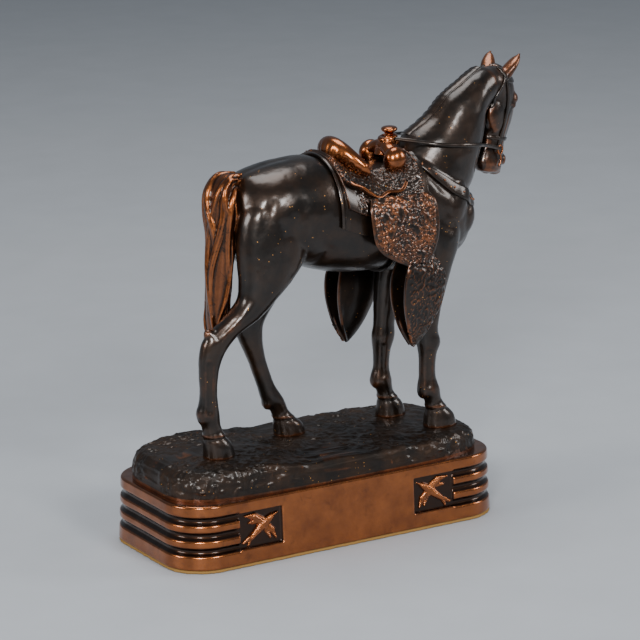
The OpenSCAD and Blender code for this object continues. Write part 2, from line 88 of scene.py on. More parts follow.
LEFT_HIND = downward([[-16, 9, 184, 8, 13], [-20, 11, 172, 12, 18], [-21, 12.5, 158, 12.5, 19.5],
                      [-17, 14, 145, 11.5, 18], [-12.5, 15, 135, 10, 13.5], [-12, 15, 126, 8.4, 10.6],
                      [-18.5, 14.5, 116, 6.7, 9], [-24, 14, 106.5, 5.4, 8.2], [-23.3, 14, 98, 4.8, 6.4],
                      [-20.6, 14, 89, 4.1, 5], [-17.6, 14, 80, 3.9, 4.6], [-14.6, 14, 72, 4.2, 4.7],
                      [-11, 14, 64.5, 4.9, 5.9], [-7.2, 14, 58, 4.2, 4.8], [-4.2, 14, 53.5, 5.4, 6.2],
                      [-2.2, 14, 50, 6.4, 7.8], [-1, 14, 44.5, 7, 8.6]])
TAIL = [[-36, 0, 183, 5.5, 5, 170, 0], [-43, 0, 184.3, 8, 5.6, 200, 0], [-46.6, 0, 178, 10, 6.8, 245, 0],
        [-47, 0, 168, 11, 7.2, 268, 0], [-47.5, 0, 155, 10.2, 6.8, 268, 0], [-48.6, 0, 140, 9, 6.8, 264, 0],
        [-50, 0, 124, 7.8, 6.3, 262, 0], [-51.5, 0, 112, 6.2, 5, 262, 0], [-53, 0, 102.6, 2.6, 2.1, 262, 0]]
JOINT_Z = 127.0            # legs and trunk join here
BELLY_X = 30.0             # fore legs stand ahead of it and hind legs behind
HEAD_CUT = -14.0           # the head's joint, along the head's own forward axis
DECK_Z = 34.0
FELT_T = 1.5
BASE_L, BASE_W, CORNER_R, LEAN = 190.0, 86.0, 22.0, 1.6
RIBS = [(FELT_T, 9.3), (12.2, 17.2), (20.0, 25.0), (27.8, DECK_Z)]
WINDOW_X = (39.0, 63.0)
WINDOW_Z = (9.3, 27.8)
WINDOW_MID_Z = 18.6
WINDOW_SINK = 2.0
CASTING_VOXEL, TAIL_VOXEL, FORK_VOXEL = 0.78, 0.42, 0.34


# ---------------------------------------------------------------- curves, fields and meshes
def spline(rows, steps):
    """Catmull-Rom curve through the rows, `steps` points a stretch, ends held."""
    p = np.asarray(rows, float)
    i = np.repeat(np.arange(len(p) - 1), steps)
    t = np.tile(np.arange(steps) / steps, len(p) - 1)[:, None]
    a, b, c, d = p[np.maximum(i - 1, 0)], p[i], p[i + 1], p[np.minimum(i + 2, len(p) - 1)]
    curve = 0.5 * (2 * b + (c - a) * t + (2 * a - 5 * b + 4 * c - d) * t ** 2 + (-a + 3 * b - 3 * c + d) * t ** 3)
    return np.vstack([curve, p[-1]])


def signed_power(t, e):
    """sgn(t) * |t|^e, which squares or rounds off a circle's sine and cosine."""
    return np.sign(t) * np.abs(t) ** e


def ring_points(rows, angle, out=0.0, fill=0.93):
    """Point of each station's ring at `angle` (0 left, 90 degrees top), pushed out by `out`.

    u = sgn(cos t)|cos t|^fill * a runs to the left, v = sgn(sin t)|sin t|^fill * b runs up across the ring's axis.
    """
    s = np.asarray(rows, float)
    if s.shape[-1] < 7:
        s = np.concatenate([s, np.zeros(s.shape[:-1] + (2,))], -1)
    u = signed_power(np.cos(angle), fill) * (s[..., 3] + out)
    v = signed_power(np.sin(angle), fill) * (s[..., 4] + out)
    pitch, yaw = np.radians(s[..., 5]), np.radians(s[..., 6])
    x = -np.sin(pitch) * v
    return np.stack([s[..., 0] + x * np.cos(yaw) - u * np.sin(yaw),
                     s[..., 1] + x * np.sin(yaw) + u * np.cos(yaw), s[..., 2] + np.cos(pitch) * v], -1)


def loft(rows, steps=8, sides=64, out=0.0):
    """Rings of a spline of stations: an array of rings by sides by 3."""
    s = spline(rows, steps)
    return ring_points(s[:, None, :], np.linspace(0, TAU, sides, endpoint=False)[None, :], out)


def unit(v):
    """Vectors divided by their own lengths."""
    return v / np.linalg.norm(v, axis=-1, keepdims=True)


def in_head_frame(p):
    """Turns points of the head's frame by its yaw about Z and sets them at its place."""
    c, s = math.cos(math.radians(HEAD_YAW)), math.sin(math.radians(HEAD_YAW))
    p = np.asarray(p, float)
    return np.stack([p[..., 0] * c - p[..., 1] * s, p[..., 0] * s + p[..., 1] * c, p[..., 2]], -1) + HEAD_AT


def along_head(p):
    """Distance of points ahead of the head frame's origin, along its forward axis."""
    c, s = math.cos(math.radians(HEAD_YAW)), math.sin(math.radians(HEAD_YAW))
    return (p[:, 0] - HEAD_AT[0]) * c + (p[:, 1] - HEAD_AT[1]) * s


def lattice_noise(p, size, seed=0):
    """Smooth noise in [-1, 1]: hashed values at the corners of cubes of `size`, blended by smoothsteps."""
    q = np.asarray(p, float) / size + 100.0
    cell = np.floor(q).astype(np.int64)
    f = q - cell
    f = f * f * (3 - 2 * f)
    total = 0.0
    for dx in (0, 1):
        for dy in (0, 1):
            for dz in (0, 1):
                h = ((cell[..., 0] + dx) * 374761393 + (cell[..., 1] + dy) * 668265263
                     + (cell[..., 2] + dz) * 2147483647 + seed * 974634777) & 0xFFFFFFFF
                h = ((h ^ (h >> 13)) * 1274126177) & 0xFFFFFFFF
                value = ((h ^ (h >> 16)) & 0xFFFF) / 32767.5 - 1
                total = total + value * (np.where(dx, f[..., 0], 1 - f[..., 0]) * np.where(dy, f[..., 1], 1 - f[..., 1])
                                         * np.where(dz, f[..., 2], 1 - f[..., 2]))
    return total


def smoothstep(t, low, high):
    """3 t^2 - 2 t^3 of t rescaled to 0 at low and 1 at high, and held beyond them."""
    t = np.clip((t - low) / (high - low), 0, 1)
    return t * t * (3 - 2 * t)


def grid_faces(rows, columns, closed=False):
    """Quads of a grid of points, wound so that rows cross columns outwards; closed joins the last column."""
    j, i = np.meshgrid(np.arange(rows - 1), np.arange(columns if closed else columns - 1), indexing="ij")
    k = (i + 1) % columns
    return np.stack([j * columns + i, j * columns + k, (j + 1) * columns + k, (j + 1) * columns + i], -1).reshape(-1, 4)


def make_mesh(name, points, faces):
    """Object at the origin whose mesh holds the points, given in millimetres."""
    mesh = bpy.data.meshes.new(name)
    mesh.from_pydata((np.asarray(points, float).reshape(-1, 3) * MM).tolist(), [], [tuple(f) for f in faces])
    mesh.validate()
    mesh.update()
    mesh.polygons.foreach_set("use_smooth", np.ones(len(mesh.polygons), bool))
    piece = bpy.data.objects.new(name, mesh)
    bpy.context.scene.collection.objects.link(piece)
    return piece


def tube_geometry(rings):
    """Points and faces of a closed skin through rings, with a fan to the mean of each end ring."""
    m, n = rings.shape[:2]
    points = np.vstack([rings.reshape(-1, 3), rings[0].mean(0), rings[-1].mean(0)])
    i = np.arange(n)
    first = np.stack([np.full(n, m * n), (i + 1) % n, i], -1)
    last = np.stack([np.full(n, m * n + 1), (m - 1) * n + i, (m - 1) * n + (i + 1) % n], -1)
    return points, grid_faces(m, n, True).tolist() + first.tolist() + last.tolist()


def gather(parts):
    """Joins (points, faces) pairs into one pair."""
    points, faces, base = [], [], 0
    for p, f in parts:
        points.append(p)
        faces += [[base + v for v in face] for face in f]
        base += len(p)
    return np.vstack(points), faces


def ball_geometry(centre, radii, turn=0.0, sides=32, rings=16):
    """Ellipsoid (a sin u cos v, b sin u sin v, -c cos u), turned by `turn` degrees about Y through its centre."""
    lat = np.linspace(0, math.pi, rings + 1)[1:-1][:, None]
    lon = np.linspace(0, TAU, sides, endpoint=False)[None, :]
    p = np.stack([np.sin(lat) * np.cos(lon) * radii[0], np.sin(lat) * np.sin(lon) * radii[1],
                  -np.cos(lat) * radii[2] + 0 * lon], -1)
    c, s = math.cos(math.radians(turn)), math.sin(math.radians(turn))
    p = np.stack([p[..., 0] * c + p[..., 2] * s, p[..., 1], -p[..., 0] * s + p[..., 2] * c], -1)
    return tube_geometry(p + np.asarray(centre, float))


def baked(piece, *modifiers):
    """Adds (type, settings) modifiers in order and makes their result the piece's own mesh."""
    for kind, settings in modifiers:
        modifier = piece.modifiers.new(kind, kind)
        for key, value in settings.items():
            setattr(modifier, key, value)
    depsgraph = bpy.context.evaluated_depsgraph_get()
    mesh = bpy.data.meshes.new_from_object(piece.evaluated_get(depsgraph))
    piece.modifiers.clear()
    old, piece.data = piece.data, mesh
    bpy.data.meshes.remove(old)
    mesh.polygons.foreach_set("use_smooth", np.ones(len(mesh.polygons), bool))
    return piece


def get_points(piece):
    """Vertices in millimetres."""
    p = np.empty(len(piece.data.vertices) * 3)
    piece.data.vertices.foreach_get("co", p)
    return p.reshape(-1, 3) / MM


def set_points(piece, p):
    """Moves the vertices to points given in millimetres."""
    piece.data.vertices.foreach_set("co", (p * MM).ravel())
    piece.data.update()


def get_normals(piece):
    """Vertex normals, outwards and of unit length."""
    n = np.empty(len(piece.data.vertices) * 3)
    piece.data.vertices.foreach_get("normal", n)
    return n.reshape(-1, 3)


def get_edges(piece):
    """Pairs of vertex numbers."""
    e = np.empty(len(piece.data.edges) * 2, int)
    piece.data.edges.foreach_get("vertices", e)
    return e.reshape(-1, 2)


def neighbour_mean(p, e):
    """Mean of the points that edges e join to each point: their sum over both ends of the edges, over their count."""
    count = np.maximum(np.bincount(e.ravel(), minlength=len(p)), 1)[:, None]
    total = [np.bincount(e[:, 0], p[e[:, 1], a], len(p)) + np.bincount(e[:, 1], p[e[:, 0], a], len(p))
             for a in range(3)]
    return np.stack(total, -1) / count


def relax(piece, rounds, keep=None):
    """Taubin smoothing: each round moves points 0.5 towards and then 0.52 from their neighbours' mean.

    keep is a weight a point: 0 leaves it where it is and 1 smooths it fully.
    """
    p, e = get_points(piece), get_edges(piece)
    weight = 1.0 if keep is None else keep[:, None]
    for _ in range(rounds):
        for pull in (0.5, -0.52):
            p = p + weight * pull * (neighbour_mean(p, e) - p)
    set_points(piece, p)


def distance_to_path(p, path):
    """Distance of every point to a polyline, over its stretches."""
    path = np.asarray(path, float)
    best = np.full(len(p), 1e9)
    for a, b in zip(path[:-1], path[1:]):
        t = np.clip(((p - a) @ (b - a)) / max((b - a) @ (b - a), 1e-9), 0, 1)
        best = np.minimum(best, np.linalg.norm(p - a - t[:, None] * (b - a), axis=1))
    return best


def strokes(piece, lines):
    """Pushes points along their normals by the sum of depth * exp(-(d / width)^2) over (path, width, depth)."""
    p, n = get_points(piece), get_normals(piece)
    move = np.zeros(len(p))
    for path, width, depth in lines:
        move += depth * np.exp(-(distance_to_path(p, path) / width) ** 2)
    set_points(piece, p + n * move[:, None])


def mirrored(lines):
    """The same strokes with y reversed."""
    return [([(x, -y, z) for x, y, z in path], w, d) for path, w, d in lines]


def both_sides(lines):
    """Strokes of the left side and their mirror images."""
    return lines + mirrored(lines)


def mark(piece, name, value):
    """Writes a number for every point as an attribute that the finishes read."""
    layer = piece.data.attributes.get(name) or piece.data.attributes.new(name, "FLOAT", "POINT")
    layer.data.foreach_set("value", np.asarray(value, np.float32))
    return piece


def cavity(piece, rounds=6):
    """Marks as 'proud' how far, in millimetres, each point stands above the surface smoothed by 0.4 p + 0.6 mean."""
    p, n, e = get_points(piece), get_normals(piece), get_edges(piece)
    q = p
    for _ in range(rounds):
        q = 0.4 * q + 0.6 * neighbour_mean(q, e)
    return mark(piece, "proud", np.einsum("ij,ij->i", p - q, n))


# ---------------------------------------------------------------- the horse
# Muscle and bone masses: (centre, radii, turn about Y in degrees).
MASSES = [
    ((-26, -9, 170), (14, 13, 16), 20), ((-26, 9, 170), (14, 13, 16), 20),                # croup
    ((88, -9.5, 152), (8, 8, 11), 15), ((88, 9.5, 152), (8, 8, 11), 15),                  # points of the breast
    ((78, -14, 158), (10, 8, 16), 25), ((76, 14, 158), (10, 8, 16), 25),                  # shoulders
    ((61.5, -15.5, 142), (8, 6.5, 8), 0), ((58, 13.5, 142), (8, 6.5, 8), 0),              # elbows
    ((-61.5, -14, 111), (3.4, 3, 5), -35), ((-29.4, 14, 109.5), (3.4, 3, 5), -30),        # points of the hock
    ((65.2, -16, 90), (5.6, 5.2, 6.4), 0), ((56.7, 14, 88), (5.6, 5.2, 6.4), 0),          # knees
    ((61.6, -16, 64.5), (3.0, 4.2, 4.2), 0), ((51.6, 14, 64.5), (3.0, 4.2, 4.2), 0),      # fore fetlocks
    ((-66.0, -12, 70.6), (3.0, 4.2, 4.4), 0), ((-14.0, 14, 63.6), (3.0, 4.2, 4.2), 0)]    # hind fetlocks
# The same in the head's frame: cheeks, brows, eyes and nostrils on both sides, then the lips.
HEAD_MASSES = [((x, s * y, z), radii, turn) for (x, y, z), radii, turn in (
    ((-4.6, 4.4, 200.5), (8.6, 3.7, 11), 8), ((7.0, 6.0, 207), (4.0, 3.4, 3.8), 20),
    ((5.2, 7.4, 203.6), (2.5, 2.1, 2.2), 0), ((1.2, 3.4, 175), (2.8, 2.6, 3.4), 15)) for s in (-1, 1)] + [
    ((-1.2, 0, 169.6), (3.6, 4.2, 2.4), 15), ((-8.6, 0, 171.6), (3.4, 3.6, 2.6), 15)]
EAR = [[-0.5, 4.6, 217.5, 3.8, 3.2, 60, 10], [2.6, 5.8, 221.4, 4.2, 2.8, 55, 14], [5.6, 7.2, 225, 3.8, 2.2, 52, 16],
       [8.6, 8.2, 228.2, 2.5, 1.4, 52, 16], [10.8, 8.8, 230.4, 0.7, 0.6, 52, 16]]

# Tool strokes: (path, half width, depth), negative depth cuts in. The flank's are on the right side only.
TRUNK_STROKES = mirrored([
    ([(58, 19, 186), (70, 21, 172), (84, 17, 158)], 2.6, -0.9),
    ([(74, 22, 150), (64, 22, 158), (60, 22, 170)], 3.0, -0.7),
    ([(56, 22, 150), (62, 23, 140), (60, 20, 130)], 2.6, -0.8),
    ([(-8, 24, 160), (2, 22, 148), (-1, 17, 137)], 3.6, -1.2),
    ([(-30, 23, 176), (-36, 20, 160), (-38, 19, 142)], 2.6, -0.7),
    ([(-14, 25, 172), (-22, 25, 158), (-22, 22, 142)], 3.6, -0.6),
    ([(90, 9, 170), (95, 5, 160), (94, 4, 148)], 2.4, -0.7),
    ([(86, 12, 140), (78, 17, 136), (70, 21, 134)], 2.2, -0.7)]) + [
    ([(97, 0, 163), (97, 0, 150), (90, 0, 137)], 2.2, -1.0), ([(60, 0, 197), (40, 0, 190)], 6.0, 0.3),
    ([(-12, 0, 193), (-38, 0, 189)], 3.0, -0.6)]
NECK_STROKES = [([(97, -8.5, 176), (103, -8.5, 188), (108, -5.5, 203)], 2.4, -1.0),
                ([(95, 9.5, 176), (101, 11, 188), (107, 12, 203)], 2.4, -1.0),
                ([(76, -13.5, 200), (88, -11.5, 212), (100, -6.5, 220)], 2.6, -0.5),
                ([(84, -17, 186), (94, -13.5, 198), (104, -8, 212)], 4.0, 0.5)]
LEG_STROKES = [
    ([(-50, -21, 122), (-60, -18.5, 112)], 1.8, -0.8), ([(-22, 21, 118), (-28, 19, 110)], 1.8, -0.8),
    ([(-64.6, -17.4, 98), (-64.6, -17, 74)], 1.3, -0.7), ([(-25, 18.5, 100), (-16, 18.4, 74)], 1.3, -0.7),
    ([(-64.6, -9, 98), (-64.6, -8, 74)], 1.3, -0.6), ([(62.6, -20.5, 86), (62.6, -20, 68)], 1.3, -0.7),
    ([(53.6, 18.5, 84), (53.6, 18, 68)], 1.3, -0.7), ([(53.6, 9.5, 84), (53.6, 9.8, 68)], 1.2, -0.6),
    ([(66, -23, 122), (65, -21, 106)], 2.2, -0.6), ([(61, 21, 120), (59, 20, 104)], 2.2, -0.6)]
HEAD_STROKES = both_sides([
    ([(8.5, 4, 205), (5.5, 4.6, 192), (2.5, 4.6, 180)], 1.6, -0.7),
    ([(1.5, 8.6, 199), (-1, 7, 190), (-2, 6, 184)], 1.1, 0.5), ([(3.8, 6, 175.4), (2.6, 6.4, 173.2)], 0.8, -1.1),
    ([(3.5, 3.5, 171.4), (-2, 5.6, 172.4), (-6, 5.6, 174)], 0.7, -0.8),
    ([(8, 8.6, 206), (5, 9.4, 206.6), (2.6, 9.2, 204)], 0.7, 0.5),
    ([(7.2, 8.4, 202), (4.6, 9, 201), (2.4, 8.8, 202.6)], 0.7, -0.7),
    ([(-12, 4, 197), (-11, 6, 190), (-8.5, 6, 186)], 1.4, -0.6)]) + [
    ([(-10, 0, 196), (-12, 0, 186), (-11.5, 0, 178)], 1.8, -0.9)]
EAR_STROKES = both_sides([([(5.0, 5.4, 220.6), (8.2, 6.8, 224.8), (10.2, 7.9, 228.4)], 1.8, -1.5)])


def hoof_lines():
    """A coronet ridge just above each hoof: the ring of the leg at its third station from the sole."""
    lines = []
    for rows in (RIGHT_FORE, LEFT_FORE, RIGHT_HIND, LEFT_HIND):
        ring = ring_points(np.array(rows[-3]), np.linspace(0, TAU, 17))
        lines += [(ring + [0, 0, 1.6], 0.8, 0.45), (ring + [0, 0, 0.2], 0.8, -0.35)]
    return lines


def horse_casting():
    """Voxel skin round every loft and mass of the horse, relaxed, then drawn with the tool strokes."""
    parts = [tube_geometry(loft(rows)) for rows in (TRUNK, NECK, RIGHT_FORE, LEFT_FORE, RIGHT_HIND, LEFT_HIND)]
    parts += [ball_geometry(c, r, t) for c, r, t in MASSES]
    ears = [[[x, s * y, z, a, b, pitch, s * yaw] for x, y, z, a, b, pitch, yaw in EAR] for s in (-1, 1)]
    for p, f in ([tube_geometry(loft(HEAD))] + [ball_geometry(c, r, t, 24, 12) for c, r, t in HEAD_MASSES]
                 + [tube_geometry(loft(ear, 5, 24)) for ear in ears]):
        parts.append((in_head_frame(p), f))
    piece = make_mesh("casting", *gather(parts))
    baked(piece, ("REMESH", {"mode": "VOXEL", "voxel_size": CASTING_VOXEL * MM}))
    p = get_points(piece)
    fine = 1 - 0.75 * smoothstep(along_head(p), -10, -2) * smoothstep(p[:, 2], 150, 165)
    hoof = 1 - 0.5 * smoothstep(-p[:, 2], -60, -54)
    relax(piece, 26, fine * hoof)
    strokes(piece, TRUNK_STROKES + NECK_STROKES + LEG_STROKES + hoof_lines())
    relax(piece, 3)
    strokes(piece, [(in_head_frame(path), w, d) for path, w, d in HEAD_STROKES + EAR_STROKES])
    relax(piece, 2)
    p, n = get_points(piece), get_normals(piece)
    set_points(piece, p + n * (0.10 * lattice_noise(p, 5.0, 3) + 0.04 * lattice_noise(p, 1.8, 4))[:, None])
    tips = [distance_to_path(p, in_head_frame(np.array(EAR)[:, :3] * [1, s, 1])) for s in (-1, 1)]
    face = smoothstep(along_head(p), 3, 8) * smoothstep(p[:, 2], 168, 178)
    mark(piece, "ear", np.maximum(smoothstep(-np.minimum(*tips), -4.2, -2.6), 0.5 * face))
    return cavity(piece)


def cut_piece(source, name, planes):
    """Part of a closed casting behind every (point, outward normal) plane, its cut faces closed and flat."""
    mesh = source.data.copy()
    bm = bmesh.new()
    bm.from_mesh(mesh)
    for point, normal in planes:
        bmesh.ops.bisect_plane(bm, geom=bm.verts[:] + bm.edges[:] + bm.faces[:], dist=1e-7, clear_outer=True,
                               plane_co=Vector(np.asarray(point, float) * MM), plane_no=Vector(normal))
        rim = [edge for edge in bm.edges if edge.is_boundary]
        if rim:
            caps = bmesh.ops.holes_fill(bm, edges=rim, sides=0)["faces"]
            for face in caps:
                face.smooth = False
            for edge in rim:
                edge.smooth = False
    bm.to_mesh(mesh)
    bm.free()
    piece = bpy.data.objects.new(name, mesh)
    bpy.context.scene.collection.objects.link(piece)
    return piece


def turned(plane):
    """The same plane facing the other way."""
    return plane[0], tuple(-c for c in plane[1])


def horse_pieces(casting):
    """Cuts the casting at the joints of the CAD's trunk, neck, head and legs."""
    pitch = math.radians(NECK[1][5])
    shoulder = (NECK[1][:3], (math.cos(pitch), 0, math.sin(pitch)))
    forward = in_head_frame(np.array([[1.0, 0, 0]]))[0] - HEAD_AT
    poll = (HEAD_AT + forward * HEAD_CUT, tuple(forward))
    above, below = ((0, 0, JOINT_Z), (0, 0, -1)), ((0, 0, JOINT_Z), (0, 0, 1))
    front_half, rear_half = ((BELLY_X, 0, 0), (-1, 0, 0)), ((BELLY_X, 0, 0), (1, 0, 0))
    left_half, right_half = ((0, 0, 0), (0, -1, 0)), ((0, 0, 0), (0, 1, 0))
    cuts = {"torso": [above, shoulder], "neck": [above, turned(shoulder), poll], "head": [above, turned(poll)],
            "right_foreleg": [below, front_half, right_half], "left_foreleg": [below, front_half, left_half],
            "right_hindleg": [below, rear_half, right_half], "left_hindleg": [below, rear_half, left_half]}
    return {node: cut_piece(casting, node + "_casting", planes) for node, planes in cuts.items()}


# ---------------------------------------------------------------- surfaces that lie on the horse
TRUNK_CURVE = spline(TRUNK, 12)


def on_trunk(x, degrees, out):
    """Point of the trunk at station x, at an angle round it (0 left, 90 spine, 180 right), pushed out."""
    rows = np.stack([x, 0 * x] + [np.interp(x, TRUNK_CURVE[:, 0], TRUNK_CURVE[:, k]) for k in (2, 3, 4)], -1)
    return ring_points(rows, np.radians(degrees), out)


def mesh_grid(u0, u1, nu, v0, v1, nv):
    """Two arrays of nu by nv: u runs from u0 to u1 down the rows and v from v0 to v1 along them."""
    return np.meshgrid(np.linspace(u0, u1, nu), np.linspace(v0, v1, nv), indexing="ij")


def leather(name, points, thick, bevel=0.35):
    """Grid of points given a wall inwards and softened edges."""
    piece = make_mesh(name, points, grid_faces(*points.shape[:2]))
    return baked(piece, ("SOLIDIFY", {"thickness": thick * MM, "offset": -1}),
                 ("BEVEL", {"width": bevel * MM, "segments": 2, "limit_method": "ANGLE", "angle_limit": 0.9}))


def tooling(p, coarse=2.6):
    """Carved scrolls, 0 in the ground and 1 on the raised work.

    They are a smoothstep of the taller of 1 - 3.2 |noise| and 0.7 (1 - 3.4 |finer noise|), both warped by noise.
    """
    warp = np.stack([lattice_noise(p, coarse * 1.6, k) for k in (11, 12, 13)], -1) * coarse * 0.55
    a = 1 - np.abs(lattice_noise(p + warp, coarse, 14)) * 3.2
    b = 1 - np.abs(lattice_noise(p - 1.6 * warp, coarse * 0.62, 15)) * 3.4
    return smoothstep(np.maximum(a, 0.7 * b), 0.05, 0.85)


def carve(piece, depth, coarse=2.6, where=lambda p, n: 1.0):
    """Raises the carved scrolls along the normals where where(points, normals) is 1."""
    p, n = get_points(piece), get_normals(piece)
    set_points(piece, p + n * (depth * tooling(p, coarse) * where(p, n))[:, None])
    return piece


def strap_rings(path, outward, width, thick, sides=12):
    """Sections of a flat strap: a rounded rectangle across the path, width along the surface and thick off it."""
    tangent = unit(np.gradient(path, axis=0))
    across = unit(np.cross(tangent, outward))
    up = np.cross(across, tangent)
    a = np.linspace(0, TAU, sides, endpoint=False)
    width = np.broadcast_to(np.asarray(width, float), (len(path),))
    return (path[:, None] + across[:, None] * (signed_power(np.cos(a), 0.5)[None, :, None] * width[:, None, None] / 2)
            + up[:, None] * (signed_power(np.sin(a), 0.6)[None, :, None] * thick / 2))


def nearest(path, points, normals):
    """Closest casting point and its normal for every point of a path."""
    index = np.array([np.argmin(((points - q) ** 2).sum(1)) for q in path])
    return points[index], normals[index]


def laid_on(path, skin, lift, steps=8, stick=True):
    """Spline of a path laid `lift` above the casting, with the outward direction at each of its points.

    With stick, every point lies on the surface, and without it only points that would sink are lifted.
    """
    curve = spline(path, steps)
    foot, normal = nearest(curve, *skin)
    height = np.einsum("ij,ij->i", curve - foot, normal)
    move = lift - height if stick else np.maximum(lift - height, 0)
    curve = curve + normal * move[:, None]
    for _ in range(3):
        curve[1:-1] = 0.25 * curve[:-2] + 0.5 * curve[1:-1] + 0.25 * curve[2:]
        normal[1:-1] = 0.25 * normal[:-2] + 0.5 * normal[1:-1] + 0.25 * normal[2:]
    return curve, unit(normal)


def studs(path, outward, radius, every):
    """Round nail heads along a path: (points, faces) of a small ball each, half sunk in the strap."""
    return [ball_geometry(path[i] + outward[i] * 0.2, (radius, radius, radius), 0, 10, 6)
            for i in range(every // 2, len(path), every)]


BLANKET_T, SKIRT_D, JOCKEY_D = 1.4, 3.0, 4.6      # the cloth's thickness, and outer faces above the trunk
BLANKET_X, CINCH_X, CORD = (6.5, 60), (39.5, 49.5), 1.25


def saddle_blanket():
    """Trunk pushed out by the cloth's thickness, with two bell-shaped ridges exp(-(d / width)^2) at its rear edge."""
    x, a = mesh_grid(*BLANKET_X, 110, -5, 185, 210)
    rim = np.exp(-((x - 7.6) / 0.7) ** 2) + 0.35 * np.exp(-((x - 10.4) / 0.5) ** 2)
    p = on_trunk(x, a, BLANKET_T + 0.1 + 0.7 * np.clip(rim, 0, 1))
    return leather("saddle_blanket_cloth", p, BLANKET_T)


def saddle_skirt():
    """Skirt on the trunk, each end drawn in by 1.25 side^3 as side runs from 0 at the spine to 1 at the lower edge."""
    u, a = mesh_grid(0, 1, 150, 14, 166, 210)
    side = np.abs(a - 90) / 76
    x = 9.5 + u * 48 - 2.5 * side ** 3 * (u - 0.5)
    p = on_trunk(x, a, SKIRT_D)
    piece = leather("saddle_skirt_leather", p, 1.6)
    return carve(piece, 0.45, 2.2, lambda q, n: smoothstep(q[:, 0], 15, 20) * (np.abs(q[:, 1]) > 4))


def jockey_edge(u):
    """Station and angular reach of the seat's lower edge: 54 degrees, a sine of scallops, drawn in at both ends."""
    return 10.5 + u * 38, 54 + 2.6 * np.sin(u * 15 + 1) - 12 * (1 - np.sin(u * math.pi) ** 0.5)


def seat_jockey():
    """Seat and side jockeys on the trunk, dipped by a bell curve for the rider and tooled at the sides."""
    u, v = mesh_grid(0, 1, 110, -1, 1, 170)
    x, reach = jockey_edge(u)
    dip = -0.9 * np.exp(-((x - 34) / 8) ** 2) * np.exp(-(v / 0.5) ** 2)
    piece = leather("seat_jockey_leather", on_trunk(x, 90 - v * reach, JOCKEY_D + dip)[:, ::-1], 1.5)
    return carve(piece, 0.45, 2.0, lambda q, n: smoothstep(np.abs(q[:, 1]), 6, 10))


def jockey_piping():
    """Rolled edge along both scalloped sides of the seat."""
    parts = []
    for side in (-1, 1):
        x, reach = jockey_edge(np.linspace(0.06, 0.98, 120))
        path = on_trunk(x, 90 + side * reach, JOCKEY_D + 0.5)
        away = on_trunk(x, 90 + side * reach, JOCKEY_D + 1.5) - path
        parts.append(tube_geometry(strap_rings(path, away, 1.9, 1.8, 14)))
    return make_mesh("seat_jockey_piping", *gather(parts))


def cantle():
    """Padded roll on an arch: section radii shrink from the crown to the ends, with a row of dimples behind."""
    t = np.linspace(-1.04, 1.04, 121)
    bend = t ** 2
    core = on_trunk(17.2 + 11.5 * bend, 90 - t * 29, JOCKEY_D + 4.9 - 3.0 * bend)
    size = (5.2 - 1.9 * bend) * np.clip((1.045 - np.abs(t)) / 0.16, 0, 1) ** 0.5
    a = np.linspace(0, TAU, 40, endpoint=False)
    tangent = unit(np.gradient(core, axis=0))
    rear = np.array([-1.0, 0, 0.25])
    rear = unit(rear - (tangent @ rear)[:, None] * tangent)
    up = np.cross(rear, tangent)
    up *= np.sign(up[:, 2:3] + 1e-9)
    row = np.sin(np.linspace(0, 15 * math.pi, len(t)))[:, None] ** 2
    dimple = 0.35 * np.exp(-(np.minimum(a, TAU - a) / 0.5) ** 2)[None] * row
    swell = (1 - 0.1 * np.cos(2 * a))[None] - dimple / np.maximum(size[:, None], 1)
    rings = core[:, None] + size[:, None, None] * swell[..., None] * (
        np.cos(a)[None, :, None] * rear[:, None] + np.sin(a)[None, :, None] * up[:, None] * 1.05)
    return facing_out(make_mesh("cantle_roll", *tube_geometry(rings)))


def facing_out(piece):
    """Recalculates the faces' direction on a closed piece."""
    bm = bmesh.new()
    bm.from_mesh(piece.data)
    bmesh.ops.remove_doubles(bm, verts=bm.verts, dist=1e-7)
    bmesh.ops.recalc_face_normals(bm, faces=bm.faces)
    bm.to_mesh(piece.data)
    bm.free()
    return piece


def torus_geometry(radius, wire, tilt=0.0):
    """Ring round Z at the origin: ((R + r cos s) cos t, (R + r cos s) sin t, r sin s + tilt R cos t)."""
    t, s = np.meshgrid(np.linspace(0, TAU, 48, endpoint=False), np.linspace(0, TAU, 16, endpoint=False), indexing="ij")
    reach = radius + wire * np.cos(s)
    p = np.stack([reach * np.cos(t), reach * np.sin(t), wire * np.sin(s) + tilt * radius * np.cos(t)], -1)
    return p.reshape(-1, 3), (grid_faces(49, 16, True) % (48 * 16)).tolist()


def swell_fork():
    """Pommel: an arch over the withers, a round swell at each side and the rein's turns round the horn's foot."""
    arch = spline([(48.5, -12, 186.5), (48.5, -7, 190.6), (49.5, 0, 192), (48.5, 7, 190.6), (48.5, 12, 186.5)], 8)
    away = unit((arch - [0, 0, 176]) * [0, 1, 1])
    a = np.linspace(0, TAU, 32, endpoint=False)[None, :, None]
    parts = [tube_geometry(arch[:, None] + 4.4 * np.cos(a) * [1, 0, 0] + 3.4 * np.sin(a) * away[:, None])]
    for side in (-1, 1):
        parts.append(ball_geometry((47.8, side * 11.6, 186.8), (6.2, 5.2, 6.8), 10, 96, 48))
    foot = np.array([[50, 0, 188, 6.4, 6.4, 90, 0], [50.4, 0, 192, 5, 5, 90, 0], [50.9, 0, 196.5, 2.9, 2.9, 90, 0]])
    parts.append(tube_geometry(ring_points(foot[:, None], np.linspace(0, TAU, 32, endpoint=False)[None])))
    for height, reach, wire in ((193.3, 4.5, 1.6), (195.9, 3.7, 1.5)):
        p, f = torus_geometry(reach, wire, 0.2)
        parts.append((p + [50.8, 0, height], f))
    piece = make_mesh("swell_fork_leather", *gather(parts))
    baked(piece, ("REMESH", {"mode": "VOXEL", "voxel_size": FORK_VOXEL * MM}))
    relax(piece, 24)
    return piece


